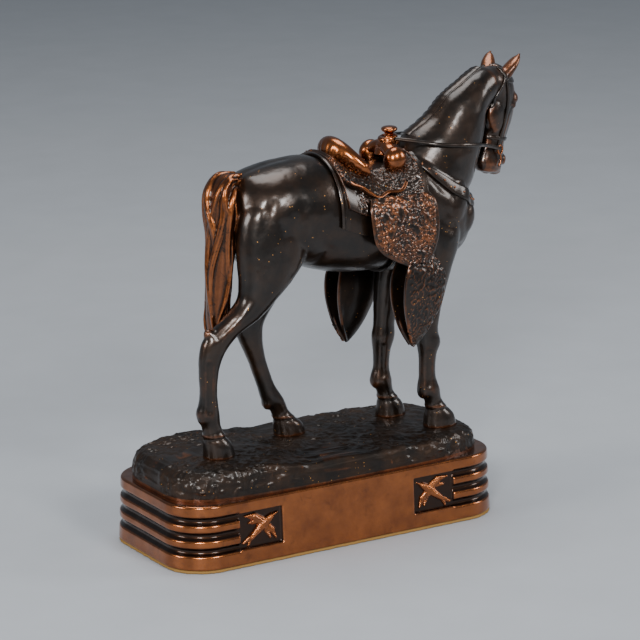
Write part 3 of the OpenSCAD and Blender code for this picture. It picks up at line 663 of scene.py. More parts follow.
def saddle_horn():
    """Lathe of a profile (height, radius) that leans forward: waisted neck, rolled cap and a shallow dome."""
    z, radius = spline([[190.5, 3.8], [193, 3.0], [195.5, 2.3], [197.6, 2.1], [198.8, 2.5], [199.4, 3.6], [200.1, 4.1],
                        [200.9, 4.0], [201.5, 3.3], [201.9, 1.8], [202.0, 0.3]], 5).T
    lean, none = (z - 190) * 0.12, 0 * z
    rows = np.stack([50.6 + lean, none, z, radius * 1.05, radius, 90 + none, none], -1)
    p = ring_points(rows[:, None], np.linspace(0, TAU, 48, endpoint=False)[None], 0, 1.0)
    return facing_out(make_mesh("saddle_horn_cap", *tube_geometry(p)))


FENDER = [[171.6, 24, 57, -26.4], [167, 21.8, 59.6, -29.4], [158, 21.8, 60.2, -31.2], [151, 23, 59.6, -31.7],
          [146, 26.5, 58, -32], [142, 32.5, 56, -32.3], [138, 41, 52.5, -32.8]]


def fender(name, side, shift):
    """Stirrup fender: rows of [z, rear x, front x, y] joined straight across, bulged by 0.8 (1 - (2v - 1)^2) and
    carved inside a plain rim."""
    rows = spline(FENDER, 22)
    v = np.linspace(0, 1, 90)[None]
    x = rows[:, 1:2] + v * (rows[:, 2:3] - rows[:, 1:2])
    belly = 0.8 * (1 - (2 * v - 1) ** 2)
    p = np.stack([x, rows[:, 3:4] - belly, rows[:, 0:1] + 0 * v], -1)
    rim = np.minimum(np.minimum(v, 1 - v) * (rows[:, 2:3] - rows[:, 1:2]), 4) / 1.6
    work = tooling(p, 2.3) * np.clip(rim - 0.4, 0, 1) + 0.45 * np.exp(-((rim - 0.35) / 0.3) ** 2)
    p[..., 1] -= 0.55 * work
    p = p * [1, -side, 1] + shift
    if side > 0:
        p = p[:, ::-1]
    return leather(name, p, 1.4, 0.25)


HOOD = [[142.5, 48, 54, 1.6], [138.5, 43, 60.5, 5], [129, 39.6, 66, 7], [118, 39, 65, 6.8], [106.5, 41, 59.5, 5.2],
        [99, 43.6, 54.2, 3.4], [93.5, 46.2, 48.8, 1.2]]
HOOD_Y = 27


def tapadero(name, side, shift):
    """Hooded stirrup cover: rows of [z, rear x, front x, half width] of a U that is open at the back.

    Round the U, x = rear + (front - rear)|cos t|^0.7 and y = centre + half width * sgn(sin t)|sin t|^0.55.
    """
    rows = spline(HOOD, 16)
    t = np.linspace(-math.pi / 2, math.pi / 2, 150)[None]
    x = rows[:, 1:2] + (rows[:, 2:3] - rows[:, 1:2]) * np.abs(np.cos(t)) ** 0.7
    y = -HOOD_Y + rows[:, 3:4] * signed_power(np.sin(t), 0.55)
    p = np.stack([x, y, rows[:, 0:1] + 0 * t], -1)
    rim = np.exp(-((p[..., 0] - rows[:, 1:2] - 0.8) / 0.7) ** 2)
    p[..., 1] += np.sign(np.sin(t)) * 0.6 * rim
    p = p * [1, -side, 1] + shift
    if side < 0:
        p = p[:, ::-1]
    piece = leather(name, p, 1.3, 0.25)
    middle, edge = side * HOOD_Y + shift[1], HOOD[3][1] + shift[0]
    return carve(piece, 0.55, 2.3, lambda q, n: ((q[:, 1] - middle) * side > 0) * (n[:, 1] * side > 0.2)
                 * smoothstep(q[:, 0], edge + 2.2, edge + 3.4))


def cinch():
    """Band round the belly with cords across it, each a ridge of 0.25 |sin|."""
    x, a = mesh_grid(*CINCH_X, 40, 182, 358, 160)
    rows = 0.25 * np.abs(np.sin((x - CINCH_X[0]) * math.pi / CORD))
    return leather("cinch_band", on_trunk(x, a, 1.5 + rows), 1.4)


COLLAR_SIDE = [(57, 14, 188.5), (62.5, 18, 183), (69.5, 20, 177), (80.5, 19.5, 168.5), (89, 15.5, 163),
               (94.5, 9, 159.5)]
COLLAR = [(x, -y, z) for x, y, z in COLLAR_SIDE] + [(97.5, 0, 158)] + COLLAR_SIDE[::-1]


def breast_collar(skin):
    """Flat strap laid round the breast, widest in front, with a row of nail heads along its centre line."""
    path, out = laid_on(COLLAR, skin, 0.5, 12)
    reach = 1 - np.abs(np.linspace(-1, 1, len(path)))
    parts = [tube_geometry(strap_rings(path, out, 3.6 + 3 * smoothstep(reach, 0.1, 0.6), 1.6, 16))]
    parts += studs(path, out * 3.4, 0.75, 6)
    return make_mesh("breast_collar_strap", *gather(parts))


def headstall(skin):
    """Noseband, cheek straps, throat latch and brow band: flat straps along paths laid on the head."""
    nose = spline(HEAD, 8)[5 * 8 - 1]
    band = in_head_frame(ring_points(nose, np.linspace(0, TAU, 73), 0.2))
    path, normal = laid_on(band, skin, 0.35, 1)
    parts = [tube_geometry(strap_rings(path, normal, 2.0, 1.1))]
    for s in (-1, 1):
        cheek = in_head_frame([(-4, s * 4, 224.5), (-3, s * 8.2, 219), (-1.5, s * 9.6, 212), (-1, s * 9.6, 204),
                               (-2.5, s * 8.4, 195), (-4.5, s * 6.6, 187), (-5.5, s * 6, 183)])
        throat = in_head_frame([(-4, s * 8, 219.5), (-9, s * 8.8, 213), (-11, s * 7, 207), (-11, s * 3, 204)])
        brow = in_head_frame([(-2.5, s * 8.4, 218), (3, s * 8, 216.5), (8, s * 4.4, 216.5), (9.4, 0, 217)])
        for line, width in ((cheek, 2.3), (throat, 1.8), (brow, 2.2)):
            path, normal = laid_on(line, skin, 0.35, 8)
            parts.append(tube_geometry(strap_rings(path, normal, width, 1.0)))
    return make_mesh("headstall_straps", *gather(parts))


def bit_rings():
    """Two cheek rings and the bar that shows at each corner of the mouth."""
    parts = []
    for s in (-1, 1):
        p, f = torus_geometry(2.2, 0.6)
        parts.append((in_head_frame(p[:, [0, 2, 1]] * [1, -1, 1] + [-6, s * 7.2, 182]), f))
        bar = spline([(-6, s * 7.2, 180), (-5.6, s * 7.4, 176.5), (-7.4, s * 7.2, 173.5)], 6)
        parts.append(tube_geometry(strap_rings(in_head_frame(bar), np.array([0, s, 0.0]), 1.0, 0.9)))
    return facing_out(make_mesh("bit_rings_cast", *gather(parts)))


REIN = {-1: [(52, -5, 196), (60, -10, 194.8), (70, -15, 192.8), (80, -16, 191.2), (90, -14.8, 190), (99, -11.5, 188.5),
             (107, -7, 186.6), (114, -3.6, 184.4), (119.2, -1.6, 182.4)],
        1: [(52, 5, 196), (60, 10.5, 195), (70, 15.5, 193.5), (80, 17, 192.5), (90, 16.5, 191.5), (99, 15, 190),
            (106, 13.5, 187.5), (112.5, 12, 183)]}


def rein(name, side, skin):
    """Flat strap along its path, lifted clear wherever it would sink into the horse."""
    path, out = laid_on(REIN[side], skin, 0.9, 10, stick=False)
    return make_mesh(name, *tube_geometry(strap_rings(path, out, 1.9, 1.5)))


def mane():
    """Mane combed to the left: the neck's skin pushed out by ridges |sin| that slant down it from the crest."""
    rows = spline(NECK[1:6], 40)
    f = np.linspace(0, 1, len(rows))[:, None]
    v = np.linspace(0, 1, 70)[None]
    angle = 95 - v * (58 + 10 * np.sin(f * 31) * v)
    lock = np.abs(np.sin(f * 46 + 3.2 * v + 0.6 * np.sin(f * 13)))
    deep = 0.05 + 0.9 * smoothstep(v, 0.25, 0.6)
    thick = (0.3 + 1.5 * np.sin(np.clip(v, 0.02, 1) ** 0.7 * math.pi) ** 0.6) * (1.0 - deep * (0.9 - lock) * 0.7)
    p = ring_points(rows[:, None], np.radians(angle), thick - 0.6)
    return leather("mane_locks", p[:, ::-1], 1.2, 0.2)


def forelock():
    """Tuft on the brow: the head's skin pushed out by (1 - v^2)^0.5 across, thinner downwards, in |sin| locks."""
    rows = spline(HEAD, 20)[26:62]
    f = np.linspace(0, 1, len(rows))[:, None]
    v = np.linspace(-1, 1, 44)[None]
    thick = (1.4 - 1.0 * f) * (1 - v ** 2) ** 0.5 * (0.6 + 0.5 * np.abs(np.sin(v * 7 + f * 2))) - 0.3
    p = in_head_frame(ring_points(rows[:, None], np.radians(90 + v * (20 - 12 * f)), thick))
    return leather("forelock_locks", p, 1.0, 0.15)


STRANDS = 13


def tail():
    """Tail: a lofted core, and strands at angle TAU k / STRANDS + 0.42 sin that wind down it and taper as sin^0.45."""
    rows = spline(TAIL, 14)
    parts = [tube_geometry(ring_points(rows[:, None], np.linspace(0, TAU, 48, endpoint=False)[None], -1.2))]
    rng = np.random.default_rng(7)
    for k in range(STRANDS):
        start = int(rng.integers(2, 10))
        stop = int(len(rows) * (0.70 + 0.30 * rng.random())) if k % 3 else len(rows)
        path = rows[start:stop]
        f = np.linspace(0, 1, len(path))
        angle = TAU * k / STRANDS + 0.42 * np.sin(f * 6.5 + 1.9 * k) + 0.3 * (rng.random() - 0.5)
        core = ring_points(path, angle, -1.7 + 0.7 * np.sin(f * 9 + k) - 1.3 * smoothstep(f, 0.8, 1))
        width = (3.3 + 1.5 * rng.random()) * np.sin(np.clip(f * 0.9 + 0.08, 0, 1) * math.pi) ** 0.45
        width *= np.interp(f, [0, 0.3, 1], [0.8, 1.1, 0.75])
        out = unit(core - path[:, :3])
        parts.append(tube_geometry(strap_rings(core, out, width, 3.6, 16)))
        parts.append(tube_geometry(strap_rings(core + out * 1.5, out, 0.34 * width, 1.5, 10)))
    piece = make_mesh("tail_locks", *gather(parts))
    baked(piece, ("REMESH", {"mode": "VOXEL", "voxel_size": TAIL_VOXEL * MM}))
    relax(piece, 5)
    return cavity(piece, 5)


# ---------------------------------------------------------------- ground and plinth
HALF_L, HALF_W = BASE_L / 2 - CORNER_R, BASE_W / 2 - CORNER_R
GROUND_L, GROUND_W, GROUND_Z, TAIL_RISE = 90, 39, 45.5, 4.0
HOOVES = [(71.6, -16, 10), (60.5, 14, 10), (-57.3, -12, 10), (-1, 14, 10)]


def tread(x):
    """Height under the hooves: level in front, and rising towards the tail by a smoothstep of -x."""
    return GROUND_Z + TAIL_RISE * smoothstep(-x, 10, 50)


def rough_ground():
    """Modelled ground: squarish rings (90 s sgn|sin t|^0.45, 39 s sgn|cos t|^0.45) that shrink by s as they climb.

    Noise dabs the surface, except under the hooves.
    """
    t = np.linspace(0, TAU, 620, endpoint=False)
    lift = np.concatenate([np.linspace(0, 1, 46), np.ones(84)])
    shrink = np.concatenate([1 - 0.115 * np.linspace(0, 1, 46) ** 2.6, 0.885 * np.linspace(1, 0.0, 86)[1:-1]])
    scale, climb = shrink[:, None], np.sin(lift[:, None] * math.pi / 2) ** 0.9
    x = GROUND_L * scale * signed_power(np.sin(t), 0.45)[None]
    y = GROUND_W * scale * signed_power(np.cos(t), 0.45)[None]
    z = DECK_Z - 0.4 + (tread(x) - DECK_Z) * climb
    p = np.stack([x, y, z], -1)
    foot = np.max([np.exp(-((x - a) ** 2 + (y - b) ** 2) / r ** 2) for a, b, r in HOOVES], 0)
    dab = (0.5 * lattice_noise(p, 5.0, 21) + 0.55 * (0.5 - np.abs(lattice_noise(p, 2.9, 22)) ** 0.7 * 1.6)
           + 0.25 * lattice_noise(p, 1.7, 23))
    rough = dab * (1 - 0.75 * foot) * smoothstep(lift[:, None], 0.02, 0.2)
    side = np.cos(lift[:, None] * math.pi / 2)
    p[..., 0] += rough * side * np.sin(t)[None]
    p[..., 1] += rough * side * np.cos(t)[None]
    p[..., 2] += rough * (1 - 0.6 * side) - 0.15 * (1 - foot)
    return cavity(facing_out(make_mesh("ground_casting", *tube_geometry(p))), 5)


def perimeter(straight, arc):
    """Corner-circle centres and outward directions round a rounded rectangle, from its +X side, turning left."""
    centres, normals = [], []
    quarter = np.linspace(0, math.pi / 2, arc, endpoint=False)
    sides = [((HALF_L, -HALF_W), (HALF_L, HALF_W), 0.0), ((HALF_L, HALF_W), (-HALF_L, HALF_W), 0.25),
             ((-HALF_L, HALF_W), (-HALF_L, -HALF_W), 0.5), ((-HALF_L, -HALF_W), (HALF_L, -HALF_W), 0.75)]
    for k, (a, b, turn) in enumerate(sides):
        count = straight if k % 2 else straight // 4
        f = np.linspace(0, 1, count, endpoint=False)[:, None]
        centres += [np.array(a) + f * (np.array(b) - a), np.repeat([b], arc, 0)]
        heading = np.concatenate([np.full(count, turn * TAU), turn * TAU + quarter])
        normals.append(np.stack([np.cos(heading), np.sin(heading)], -1))
    return np.vstack(centres), np.vstack(normals)


def outline(c, n, reach, z):
    """Points round the base at height z: corner-circle centre + outward direction * reach."""
    x, y = c[:, 0] + n[:, 0] * reach, c[:, 1] + n[:, 1] * reach
    return np.stack([x, y, z + 0 * x], -1)


def wall_reach(z):
    """Plain wall's distance from its corner-circle centres: the corner radius, less a lean that grows with height."""
    return CORNER_R - LEAN * (z - FELT_T) / (DECK_Z - FELT_T)


def plinth():
    """Plinth wall as height rows by perimeter: face = wall reach - carving depth - edge inset + a faint wave.

    Grooves are rounded troughs between the beads, the windows are flat recesses, and the long sides' middle is plain.
    """
    c, n = perimeter(300, 46)
    rows, edge = 88, 1.2
    turn = np.linspace(0, math.pi / 2, 8)[1:]
    z = np.concatenate([np.linspace(FELT_T, DECK_Z - edge, rows), DECK_Z - edge + edge * np.sin(turn)])
    inset = np.concatenate([np.zeros(rows), edge * (1 - np.cos(turn))])
    inset[:3] = [0.9, 0.35, 0.08]
    x = np.abs(c[:, 0])[None]
    long_side = (np.abs(n[:, 1]) > 0.999)[None]
    ribbed = np.where(long_side, smoothstep(x, WINDOW_X[1] - 0.5, WINDOW_X[1] + 0.3), 1.0)
    windowed = np.where(long_side, smoothstep(x, WINDOW_X[0] - 0.3, WINDOW_X[0] + 0.3), 0.0) * (1 - ribbed)
    zz = z[:, None]
    troughs = sum(2.1 * np.exp(-np.abs((zz - (RIBS[k][1] + RIBS[k + 1][0]) / 2) / 1.75) ** 3) for k in range(3))
    crown = sum(0.35 * np.clip((zz - (a + b) / 2) / ((b - a) / 2), -1, 1) ** 4 * ((zz >= a) & (zz <= b))
                for a, b in RIBS[1:3])
    window = WINDOW_SINK * (smoothstep(zz, WINDOW_Z[0] - 0.3, WINDOW_Z[0] + 0.4)
                            * smoothstep(-zz, -WINDOW_Z[1] - 0.3, -WINDOW_Z[1] + 0.4))
    depth = ribbed * (troughs + crown) + windowed * window
    wave = 0.12 * lattice_noise(np.pad(c + n * 20, ((0, 0), (0, 1)))[None] + [0, 0, 1] * zz[..., None], 9.0, 31)
    face = wall_reach(zz) - depth - inset[:, None] + wave
    wall = outline(c, n, face, zz)
    deck = outline(c, n, np.array([[18.6], [15], [10], [5]]), DECK_Z)
    piece = cavity(facing_out(make_mesh("plinth_casting", *tube_geometry(np.concatenate([wall, deck])))), 5)
    p = get_points(piece)
    reach = np.hypot(np.maximum(np.abs(p[:, 0]) - HALF_L, 0), np.maximum(np.abs(p[:, 1]) - HALF_W, 0))
    sunk = wall_reach(p[:, 2]) - reach
    on_wall = p[:, 2] < DECK_Z - 1.5
    return mark(piece, "proud", np.where(on_wall, -0.16 * np.clip(sunk, 0, 2), -0.05) + 0.02)


# A bird in flight in low relief: tapered strokes (from, to, width at each end, height).
BIRD = [((-5.4, -4.2), (2.2, 1.6), 1.5, 2.8, 2.0), ((2.2, 1.6), (6.4, 4.6), 2.8, 1.7, 2.0),
        ((6.4, 4.6), (9.6, 6.3), 1.5, 0.35, 1.5),
        ((-5.4, -4.2), (-9.8, -6.4), 1.5, 1.0, 1.1), ((-5.4, -4.2), (-7.2, -8.0), 1.3, 0.7, 1.0),
        ((1.8, 2.4), (-3.2, 6.2), 2.6, 2.0, 1.5), ((-3.2, 6.2), (-8.6, 7.0), 2.0, 0.5, 1.1),
        ((-1.0, 3.4), (-6.4, 3.2), 1.8, 0.7, 0.9), ((2.6, 0.4), (6.6, -2.2), 2.5, 1.9, 1.5),
        ((6.6, -2.2), (8.6, -6.8), 1.8, 0.5, 1.1), ((3.6, -1.6), (5.4, -6.0), 1.7, 0.7, 0.9)]


def bird_height(x, z):
    """Tallest of the strokes at a point, each a rounded ridge h * sqrt(1 - (distance / width)^2)."""
    tall = np.full(x.shape, -0.35)
    p = np.stack([x, z], -1)
    for a, b, wa, wb, h in BIRD:
        a, b = np.array(a), np.array(b)
        f = np.clip(((p - a) @ (b - a)) / ((b - a) @ (b - a)), 0, 1)
        d = np.linalg.norm(p - a - f[..., None] * (b - a), axis=-1) / (wa + (wb - wa) * f)
        feather = 0.12 * np.cos(6.5 * np.linalg.norm(p - a, axis=-1))
        tall = np.maximum(tall, np.where(d < 1, (h + feather) * np.sqrt(np.clip(1 - d ** 2, 0, 1)) - 0.1, -0.35))
    return tall


def bird_reliefs():
    """The same bird in all four windows, its head towards the plinth's middle: a plate on the leaning recess floor."""
    x, z = mesh_grid(-11, 11, 111, -8.6, 8.6, 87)
    tall = bird_height(x, z)
    floor = wall_reach(z + WINDOW_MID_Z) - WINDOW_SINK
    middle = (WINDOW_X[0] + WINDOW_X[1]) / 2
    rows, columns = x.shape
    plate, base = grid_faces(rows, columns), rows * columns
    rim = np.concatenate([np.arange(columns), np.arange(1, rows) * columns + columns - 1,
                          (rows - 1) * columns + np.arange(columns - 2, -1, -1), np.arange(rows - 2, 0, -1) * columns])
    follow = np.roll(rim, -1)
    walls = np.stack([rim, follow, base + follow, base + rim], -1)
    faces = plate.tolist() + (plate[:, ::-1] + base).tolist() + walls.tolist()
    parts = []
    for sx in (-1, 1):
        for sy in (-1, 1):
            front = np.stack([sx * (middle - x), sy * (HALF_W + floor + tall), z + WINDOW_MID_Z], -1)
            back = front.copy()
            back[..., 1] = sy * (HALF_W + floor - 0.8)
            parts.append((np.vstack([front.reshape(-1, 3), back.reshape(-1, 3)]), faces))
    return cavity(facing_out(make_mesh("bird_reliefs_cast", *gather(parts))), 4)


def felt():
    """Felt pad: five outlines of the base whose reach rounds the edge, frayed by noise between top and bottom."""
    c, n = perimeter(420, 60)
    z = np.array([0, 0.15, 0.6, 1.1, 1.5])
    r = CORNER_R + np.array([-1.2, -0.5, -0.2, -0.3, -0.9])
    p = outline(c, n, r[:, None], z[:, None])
    fray = 0.35 * lattice_noise(p, 1.6, 41) * np.array([0, 1, 1, 1, 0])[:, None]
    p[..., 0] += fray * n[None, :, 0]
    p[..., 1] += fray * n[None, :, 1]
    return facing_out(make_mesh("felt_pad_cloth", *tube_geometry(p)))


# ---------------------------------------------------------------- finishes
class Value:
    """A number at a shader socket: arithmetic on it writes Math nodes."""

    def __init__(self, finish, socket):
        self.finish, self.socket = finish, socket

    def math(self, kind, *terms):
        """Value of one Math node whose operation is `kind`."""
        node = self.finish.add("ShaderNodeMath", {"operation": kind}, dict(enumerate(terms)))
        return Value(self.finish, node.outputs[0])

    def __add__(self, other): return self.math("ADD", self, other)
    def __radd__(self, other): return self.math("ADD", other, self)
    def __sub__(self, other): return self.math("SUBTRACT", self, other)
    def __rsub__(self, other): return self.math("SUBTRACT", other, self)
    def __mul__(self, other): return self.math("MULTIPLY", self, other)
    def __rmul__(self, other): return self.math("MULTIPLY", other, self)

    def clamp(self):
        """The value held between 0 and 1."""
        return self.math("MINIMUM", self.math("MAXIMUM", self, 0.0), 1.0)

    def step(self, low, high):
        """0 below low, 1 above high and a smooth rise between."""
        node = self.finish.add("ShaderNodeMapRange", {"interpolation_type": "SMOOTHSTEP"},
                               {"Value": self, "From Min": low, "From Max": high})
        return Value(self.finish, node.outputs[0])


class Finish:
    """One material: its tree, and the few ways this statuette's finishes use it."""

    def __init__(self, name):
        self.material = bpy.data.materials.new(name)
        self.material.use_nodes = True
        self.tree = self.material.node_tree
        self.tree.nodes.clear()
        self.place = self.add("ShaderNodeTexCoord", {}, {}).outputs["Object"]

    def add(self, kind, settings, sockets):
        """Adds a node, sets its settings first and then its sockets, each by value or by link."""
        node = self.tree.nodes.new(kind)
        for key, value in settings.items():
            setattr(node, key, value)
        for key, value in sockets.items():
            value = value.socket if isinstance(value, Value) else value
            if isinstance(value, bpy.types.NodeSocket):
                self.tree.links.new(value, node.inputs[key])
            else:
                node.inputs[key].default_value = value
        return node

    def noise(self, size_mm, detail=2.0, rough=0.5, twist=0.0):
        """Noise from 0 to 1 whose features are about size_mm wide."""
        node = self.add("ShaderNodeTexNoise", {}, {"Vector": self.place, "Scale": 1000.0 / size_mm, "Detail": detail,
                                                   "Roughness": rough, "Distortion": twist})
        return Value(self, node.outputs[0])

    def cells(self, size_mm):
        """Distance to the nearest of scattered points about size_mm apart."""
        node = self.add("ShaderNodeTexVoronoi", {}, {"Vector": self.place, "Scale": 1000.0 / size_mm})
        return Value(self, node.outputs["Distance"])

    def attribute(self, name):
        """A number that mark() wrote on the piece's points."""
        return Value(self, self.add("ShaderNodeAttribute", {"attribute_name": name}, {}).outputs["Fac"])

    def blend(self, share, a, b):
        """Colour a where share is 0 and b where it is 1."""
        return self.add("ShaderNodeMix", {"data_type": "RGBA"}, {0: share, 6: a, 7: b}).outputs[2]

    def bump(self, height, reach_mm, strength):
        """Normal tilted by a height from 0 to 1 that stands for reach_mm."""
        node = self.add("ShaderNodeBump", {}, {"Height": height, "Distance": reach_mm * MM, "Strength": strength})
        return node.outputs[0]

    def shade(self, **sockets):
        """Principled shader with its constants set directly, joined to the output."""
        named = {key.replace("_", " "): value for key, value in sockets.items()}
        shader = self.add("ShaderNodeBsdfPrincipled", {}, named)
        self.add("ShaderNodeOutputMaterial", {}, {"Surface": shader.outputs[0]})
        return self.material


def rgb(r, g, b):
    """Linear colour from 0-255 screen values."""
    return tuple(((c / 255 + 0.055) / 1.055) ** 2.4 if c > 10 else c / 255 / 12.92 for c in (r, g, b)) + (1.0,)


BROWN_BLACK = rgb(25, 19, 14)
WARM_BLACK = rgb(54, 36, 22)
COPPER = rgb(190, 112, 58)
COPPER_DEEP = rgb(92, 45, 22)
GOLD_FLECK = rgb(244, 172, 84)


def bronze_finish(name, rub, fleck, wear, gloss=0.24, relief=1.0, coat=0.65, ears=False):
    """Near-black lacquered bronze with scattered bright flecks.

    Copper shows by wear where a point stands proud by more than rub[0] mm, fully from rub[1], and on marked ears.
    """
    f = Finish(name)
    cloud, fine = f.noise(14, 3.0, 0.6), f.noise(1.3, 3.0, 0.6)
    proud = f.attribute("proud") + (fine - 0.5) * 0.05
    rubbed = (proud.step(*rub) * (0.35 + 0.65 * cloud.step(0.35, 0.65)) * wear).clamp()
    if ears:
        rubbed = rubbed.math("MAXIMUM", rubbed, f.attribute("ear") * (0.4 + 0.4 * cloud)).clamp()
    spots = 1.0 - f.cells(2.3).step(0.035 + fleck, 0.06 + fleck)
    flecks = (spots * f.noise(9, 1.0).step(0.52, 0.62)).clamp()
    base = f.blend(cloud.step(0.3, 0.7) * 0.75, BROWN_BLACK, WARM_BLACK)
    base = f.blend(rubbed, base, f.blend(fine, COPPER_DEEP, COPPER))
    base = f.blend(flecks * 0.85, base, GOLD_FLECK)
    rough = (gloss + 0.10 * f.noise(5, 2.0) + 0.08 * fine - 0.06 * rubbed).clamp()
    skin = f.noise(2.6, 4.0, 0.55) * 0.7 + fine * 0.3
    return f.shade(Base_Color=base, Metallic=0.8, Roughness=rough, Coat_Weight=coat, Coat_Roughness=0.2,
                   Normal=f.bump(skin, 0.22 * relief, 0.55))


def copper_finish(name, dark, gloss=0.16, stain=0.35, wave=0.3, grain=0.25):
    """Bright copper over dark antiquing, which begins where a point is sunk past dark[0] mm and is full at dark[1]."""
    f = Finish(name)
    cloud, fine = f.noise(11, 3.0, 0.6), f.noise(1.1, 3.0, 0.6)
    hollow = 1.0 - (f.attribute("proud") + (fine - 0.5) * 0.06).step(dark[1], dark[0])
    stained = (hollow + stain * f.noise(7, 4.0, 0.7, 0.6).step(0.56, 0.72)).clamp()
    bright = f.blend(cloud, COPPER_DEEP, COPPER)
    base = f.blend((stained * 0.93).clamp(), bright, BROWN_BLACK)
    rough = (gloss + 0.12 * cloud + 0.06 * fine + 0.08 * stained).clamp()
    skin = f.noise(1.9, 4.0, 0.6) * grain + f.noise(17, 2.0, 0.5) * wave
    return f.shade(Base_Color=base, Metallic=1.0, Roughness=rough, Coat_Weight=0.5, Coat_Roughness=0.1,
                   Normal=f.bump(skin, 0.5, 0.6))


def felt_finish():
    """Matt ochre felt whose noise of fibres both tints and roughens it."""
    f = Finish("felt_ochre")
    fibre = f.noise(0.5, 6.0, 0.75, 1.5)
    base = f.blend(fibre, rgb(104, 78, 40), rgb(164, 126, 70))
    return f.shade(Base_Color=base, Roughness=0.95, Metallic=0.0, Specular_IOR_Level=0.2,
                   Normal=f.bump(fibre, 0.3, 0.8))


def steel_finish():
    """Zinc-plated steel with fine streaks and a cloudy tone."""
    f = Finish("steel_zinc")
    streak, cloud = f.noise(0.8, 4.0, 0.7, 0.4), f.noise(6, 3.0)
    base = f.blend(cloud, rgb(150, 152, 154), rgb(196, 198, 200))
    return f.shade(Base_Color=base, Metallic=1.0, Roughness=(0.26 + 0.2 * streak).clamp(),
                   Normal=f.bump(streak, 0.05, 0.4))


# ---------------------------------------------------------------- assembly
def finished(piece, material, slot, *nodes):
    """Gives a piece its material and its place in the frame."""
    piece.data.materials.clear()
    piece.data.materials.append(material)
    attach(piece, "root")
    if nodes:
        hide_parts(*nodes)
    return piece


HORSE_SKIN = bronze_finish("bronze_horse", (0.07, 0.25), fleck=0.05, wear=0.35)
HEAD_SKIN = bronze_finish("bronze_head", (0.03, 0.16), fleck=0.0, wear=0.45, ears=True)
TACK_SKIN = bronze_finish("bronze_tooled", (0.05, 0.24), fleck=0.06, wear=0.72, gloss=0.26, relief=0.7)
GROUND_SKIN = bronze_finish("bronze_ground", (0.15, 0.5), fleck=0.04, wear=0.4, gloss=0.42, relief=1.2, coat=0.35)
PLINTH_SKIN = copper_finish("copper_plinth", (0.0, -0.12), gloss=0.13, stain=0.3, wave=2.2)
TAIL_SKIN = copper_finish("copper_tail", (0.10, -0.08), gloss=0.2, stain=0.75)
TRIM_SKIN = copper_finish("copper_trim", (-0.05, -0.2), stain=0.55, wave=0.0, grain=0.08)
FELT_SKIN, STEEL_SKIN = felt_finish(), steel_finish()

casting = horse_casting()
SKIN = (get_points(casting), get_normals(casting))
for node, piece in horse_pieces(casting).items():
    finished(piece, HEAD_SKIN if node == "head" else HORSE_SKIN, "dark_bronze", node)
bpy.data.objects.remove(casting)

for make, node, skin, slot in (
        (saddle_blanket, "saddle_blanket", HORSE_SKIN, "dark_bronze"),
        (saddle_skirt, "saddle_skirt", TACK_SKIN, "dark_bronze"),
        (seat_jockey, "seat_jockey", TACK_SKIN, "dark_bronze"),
        (cantle, "cantle", TRIM_SKIN, "copper"), (swell_fork, "swell_fork", TRIM_SKIN, "copper"),
        (saddle_horn, "saddle_horn", TRIM_SKIN, "copper"), (cinch, "cinch", HORSE_SKIN, "dark_bronze"),
        (mane, "mane", HORSE_SKIN, "dark_bronze"), (forelock, "forelock", HEAD_SKIN, "dark_bronze"),
        (bit_rings, "bit_rings", TRIM_SKIN, "copper")):
    finished(cavity(make(), 5), skin, slot, node)
# The left leather hangs further back and lower than the right: (side, fender's shift, tapadero's shift).
for name, side, fender_at, hood_at in (("right", -1, (0, 0, 0), (0, 0, 0)), ("left", 1, (-5, 0, -6), (-6, 0, -9))):
    for piece, skin, node in (
            (cavity(fender(name + "_fender_leather", side, fender_at), 5), TACK_SKIN, "_fender"),
            (cavity(tapadero(name + "_tapadero_leather", side, hood_at), 5), TACK_SKIN, "_tapadero"),
            (cavity(rein(name + "_rein_strap", side, SKIN), 4), HORSE_SKIN, "_rein")):
        finished(piece, skin, "dark_bronze", name + node)
finished(cavity(breast_collar(SKIN), 4), TACK_SKIN, "dark_bronze", "breast_collar")
finished(cavity(jockey_piping(), 4), TRIM_SKIN, "copper")
finished(cavity(headstall(SKIN), 4), HEAD_SKIN, "dark_bronze", "headstall")
finished(tail(), TAIL_SKIN, "copper", "tail")
finished(rough_ground(), GROUND_SKIN, "dark_bronze", "ground_mound")
finished(plinth(), PLINTH_SKIN, "copper", "base_plinth")
finished(bird_reliefs(), TRIM_SKIN, "copper", "relief_birds")
finished(felt(), FELT_SKIN, "felt", "felt_pad")
for node in ("joint_dowels", "mounting_screws", "screw_washers"):
    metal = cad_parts[node]
    metal.data.materials.clear()
    metal.data.materials.append(STEEL_SKIN)

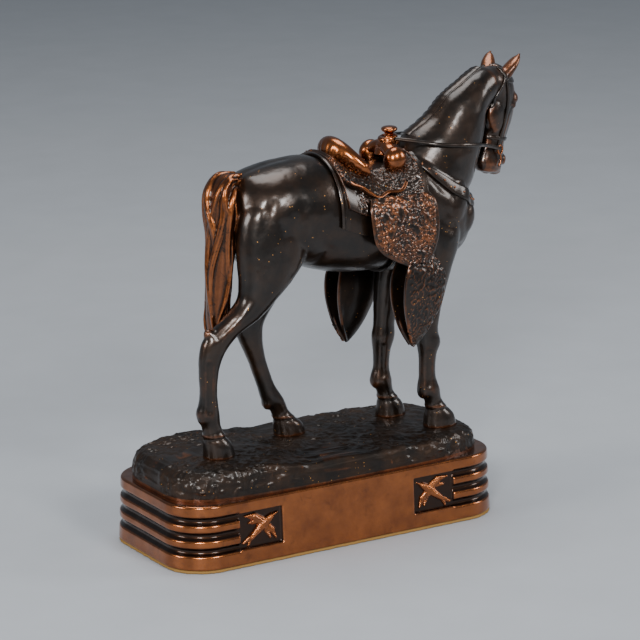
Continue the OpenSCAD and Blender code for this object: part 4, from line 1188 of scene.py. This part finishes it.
# ---------------------------------------------------------------- camera, floor and light
camera = bpy.data.objects.new("camera", bpy.data.cameras.new("camera"))
bpy.context.scene.collection.objects.link(camera)
camera.data.lens, camera.data.sensor_width = 167.0, 36.0
camera.location = (-0.7452, -1.2457, 0.4882)
look = Vector((0.0067, -0.0046, 0.1079)) - Vector(camera.location)
turn = look.to_track_quat("-Z", "Y").to_matrix().to_4x4()
roll = Matrix.Rotation(math.radians(-0.72), 4, "Z")
camera.rotation_euler = (turn @ roll).to_euler()
bpy.context.scene.camera = camera


def flat_sheet(name, corners, colour, rough):
    """Stage sheet with a slightly uneven plain colour."""
    mesh = bpy.data.meshes.new(name)
    mesh.from_pydata(corners, [], [tuple(range(len(corners)))])
    sheet = bpy.data.objects.new(name, mesh)
    bpy.context.scene.collection.objects.link(sheet)
    f = Finish(name + "_paint")
    tone = f.blend(f.noise(45, 4.0, 0.6), rgb(*[c * 0.94 for c in colour]), rgb(*colour))
    mesh.materials.append(f.shade(Base_Color=tone, Roughness=rough, Normal=f.bump(f.noise(1.5, 4.0), 0.05, 0.3)))


flat_sheet("floor", [(-3, -3, 0), (3, -3, 0), (3, 3, 0), (-3, 3, 0)], (168, 172, 177), 0.6)


def lamp(name, place, aim_z, power, size):
    """Square soft light of `size` metres that faces the statuette at the height aim_z."""
    light = bpy.data.lights.new(name, "AREA")
    light.energy, light.size = power, size
    body = bpy.data.objects.new(name, light)
    bpy.context.scene.collection.objects.link(body)
    body.location = place
    body.rotation_euler = (Vector((0, 0, aim_z)) - Vector(place)).to_track_quat("-Z", "Y").to_euler()


lamp("key_soft", (-0.95, -1.25, 0.85), 0.12, 22, 0.34)
lamp("front_soft", (0.15, -1.5, 1.0), 0.12, 16, 0.4)
lamp("side_soft", (-1.5, 0.1, 0.7), 0.12, 12, 0.5)
lamp("right_soft", (1.3, -0.7, 0.7), 0.12, 8, 0.5)
lamp("top_soft", (0.1, 0.3, 1.5), 0.1, 12, 0.8)
world = bpy.data.worlds.new("studio")
bpy.context.scene.world = world
world.use_nodes = True
sky = world.node_tree.nodes["Background"]
sky.inputs["Color"].default_value, sky.inputs["Strength"].default_value = rgb(176, 184, 194), 0.42
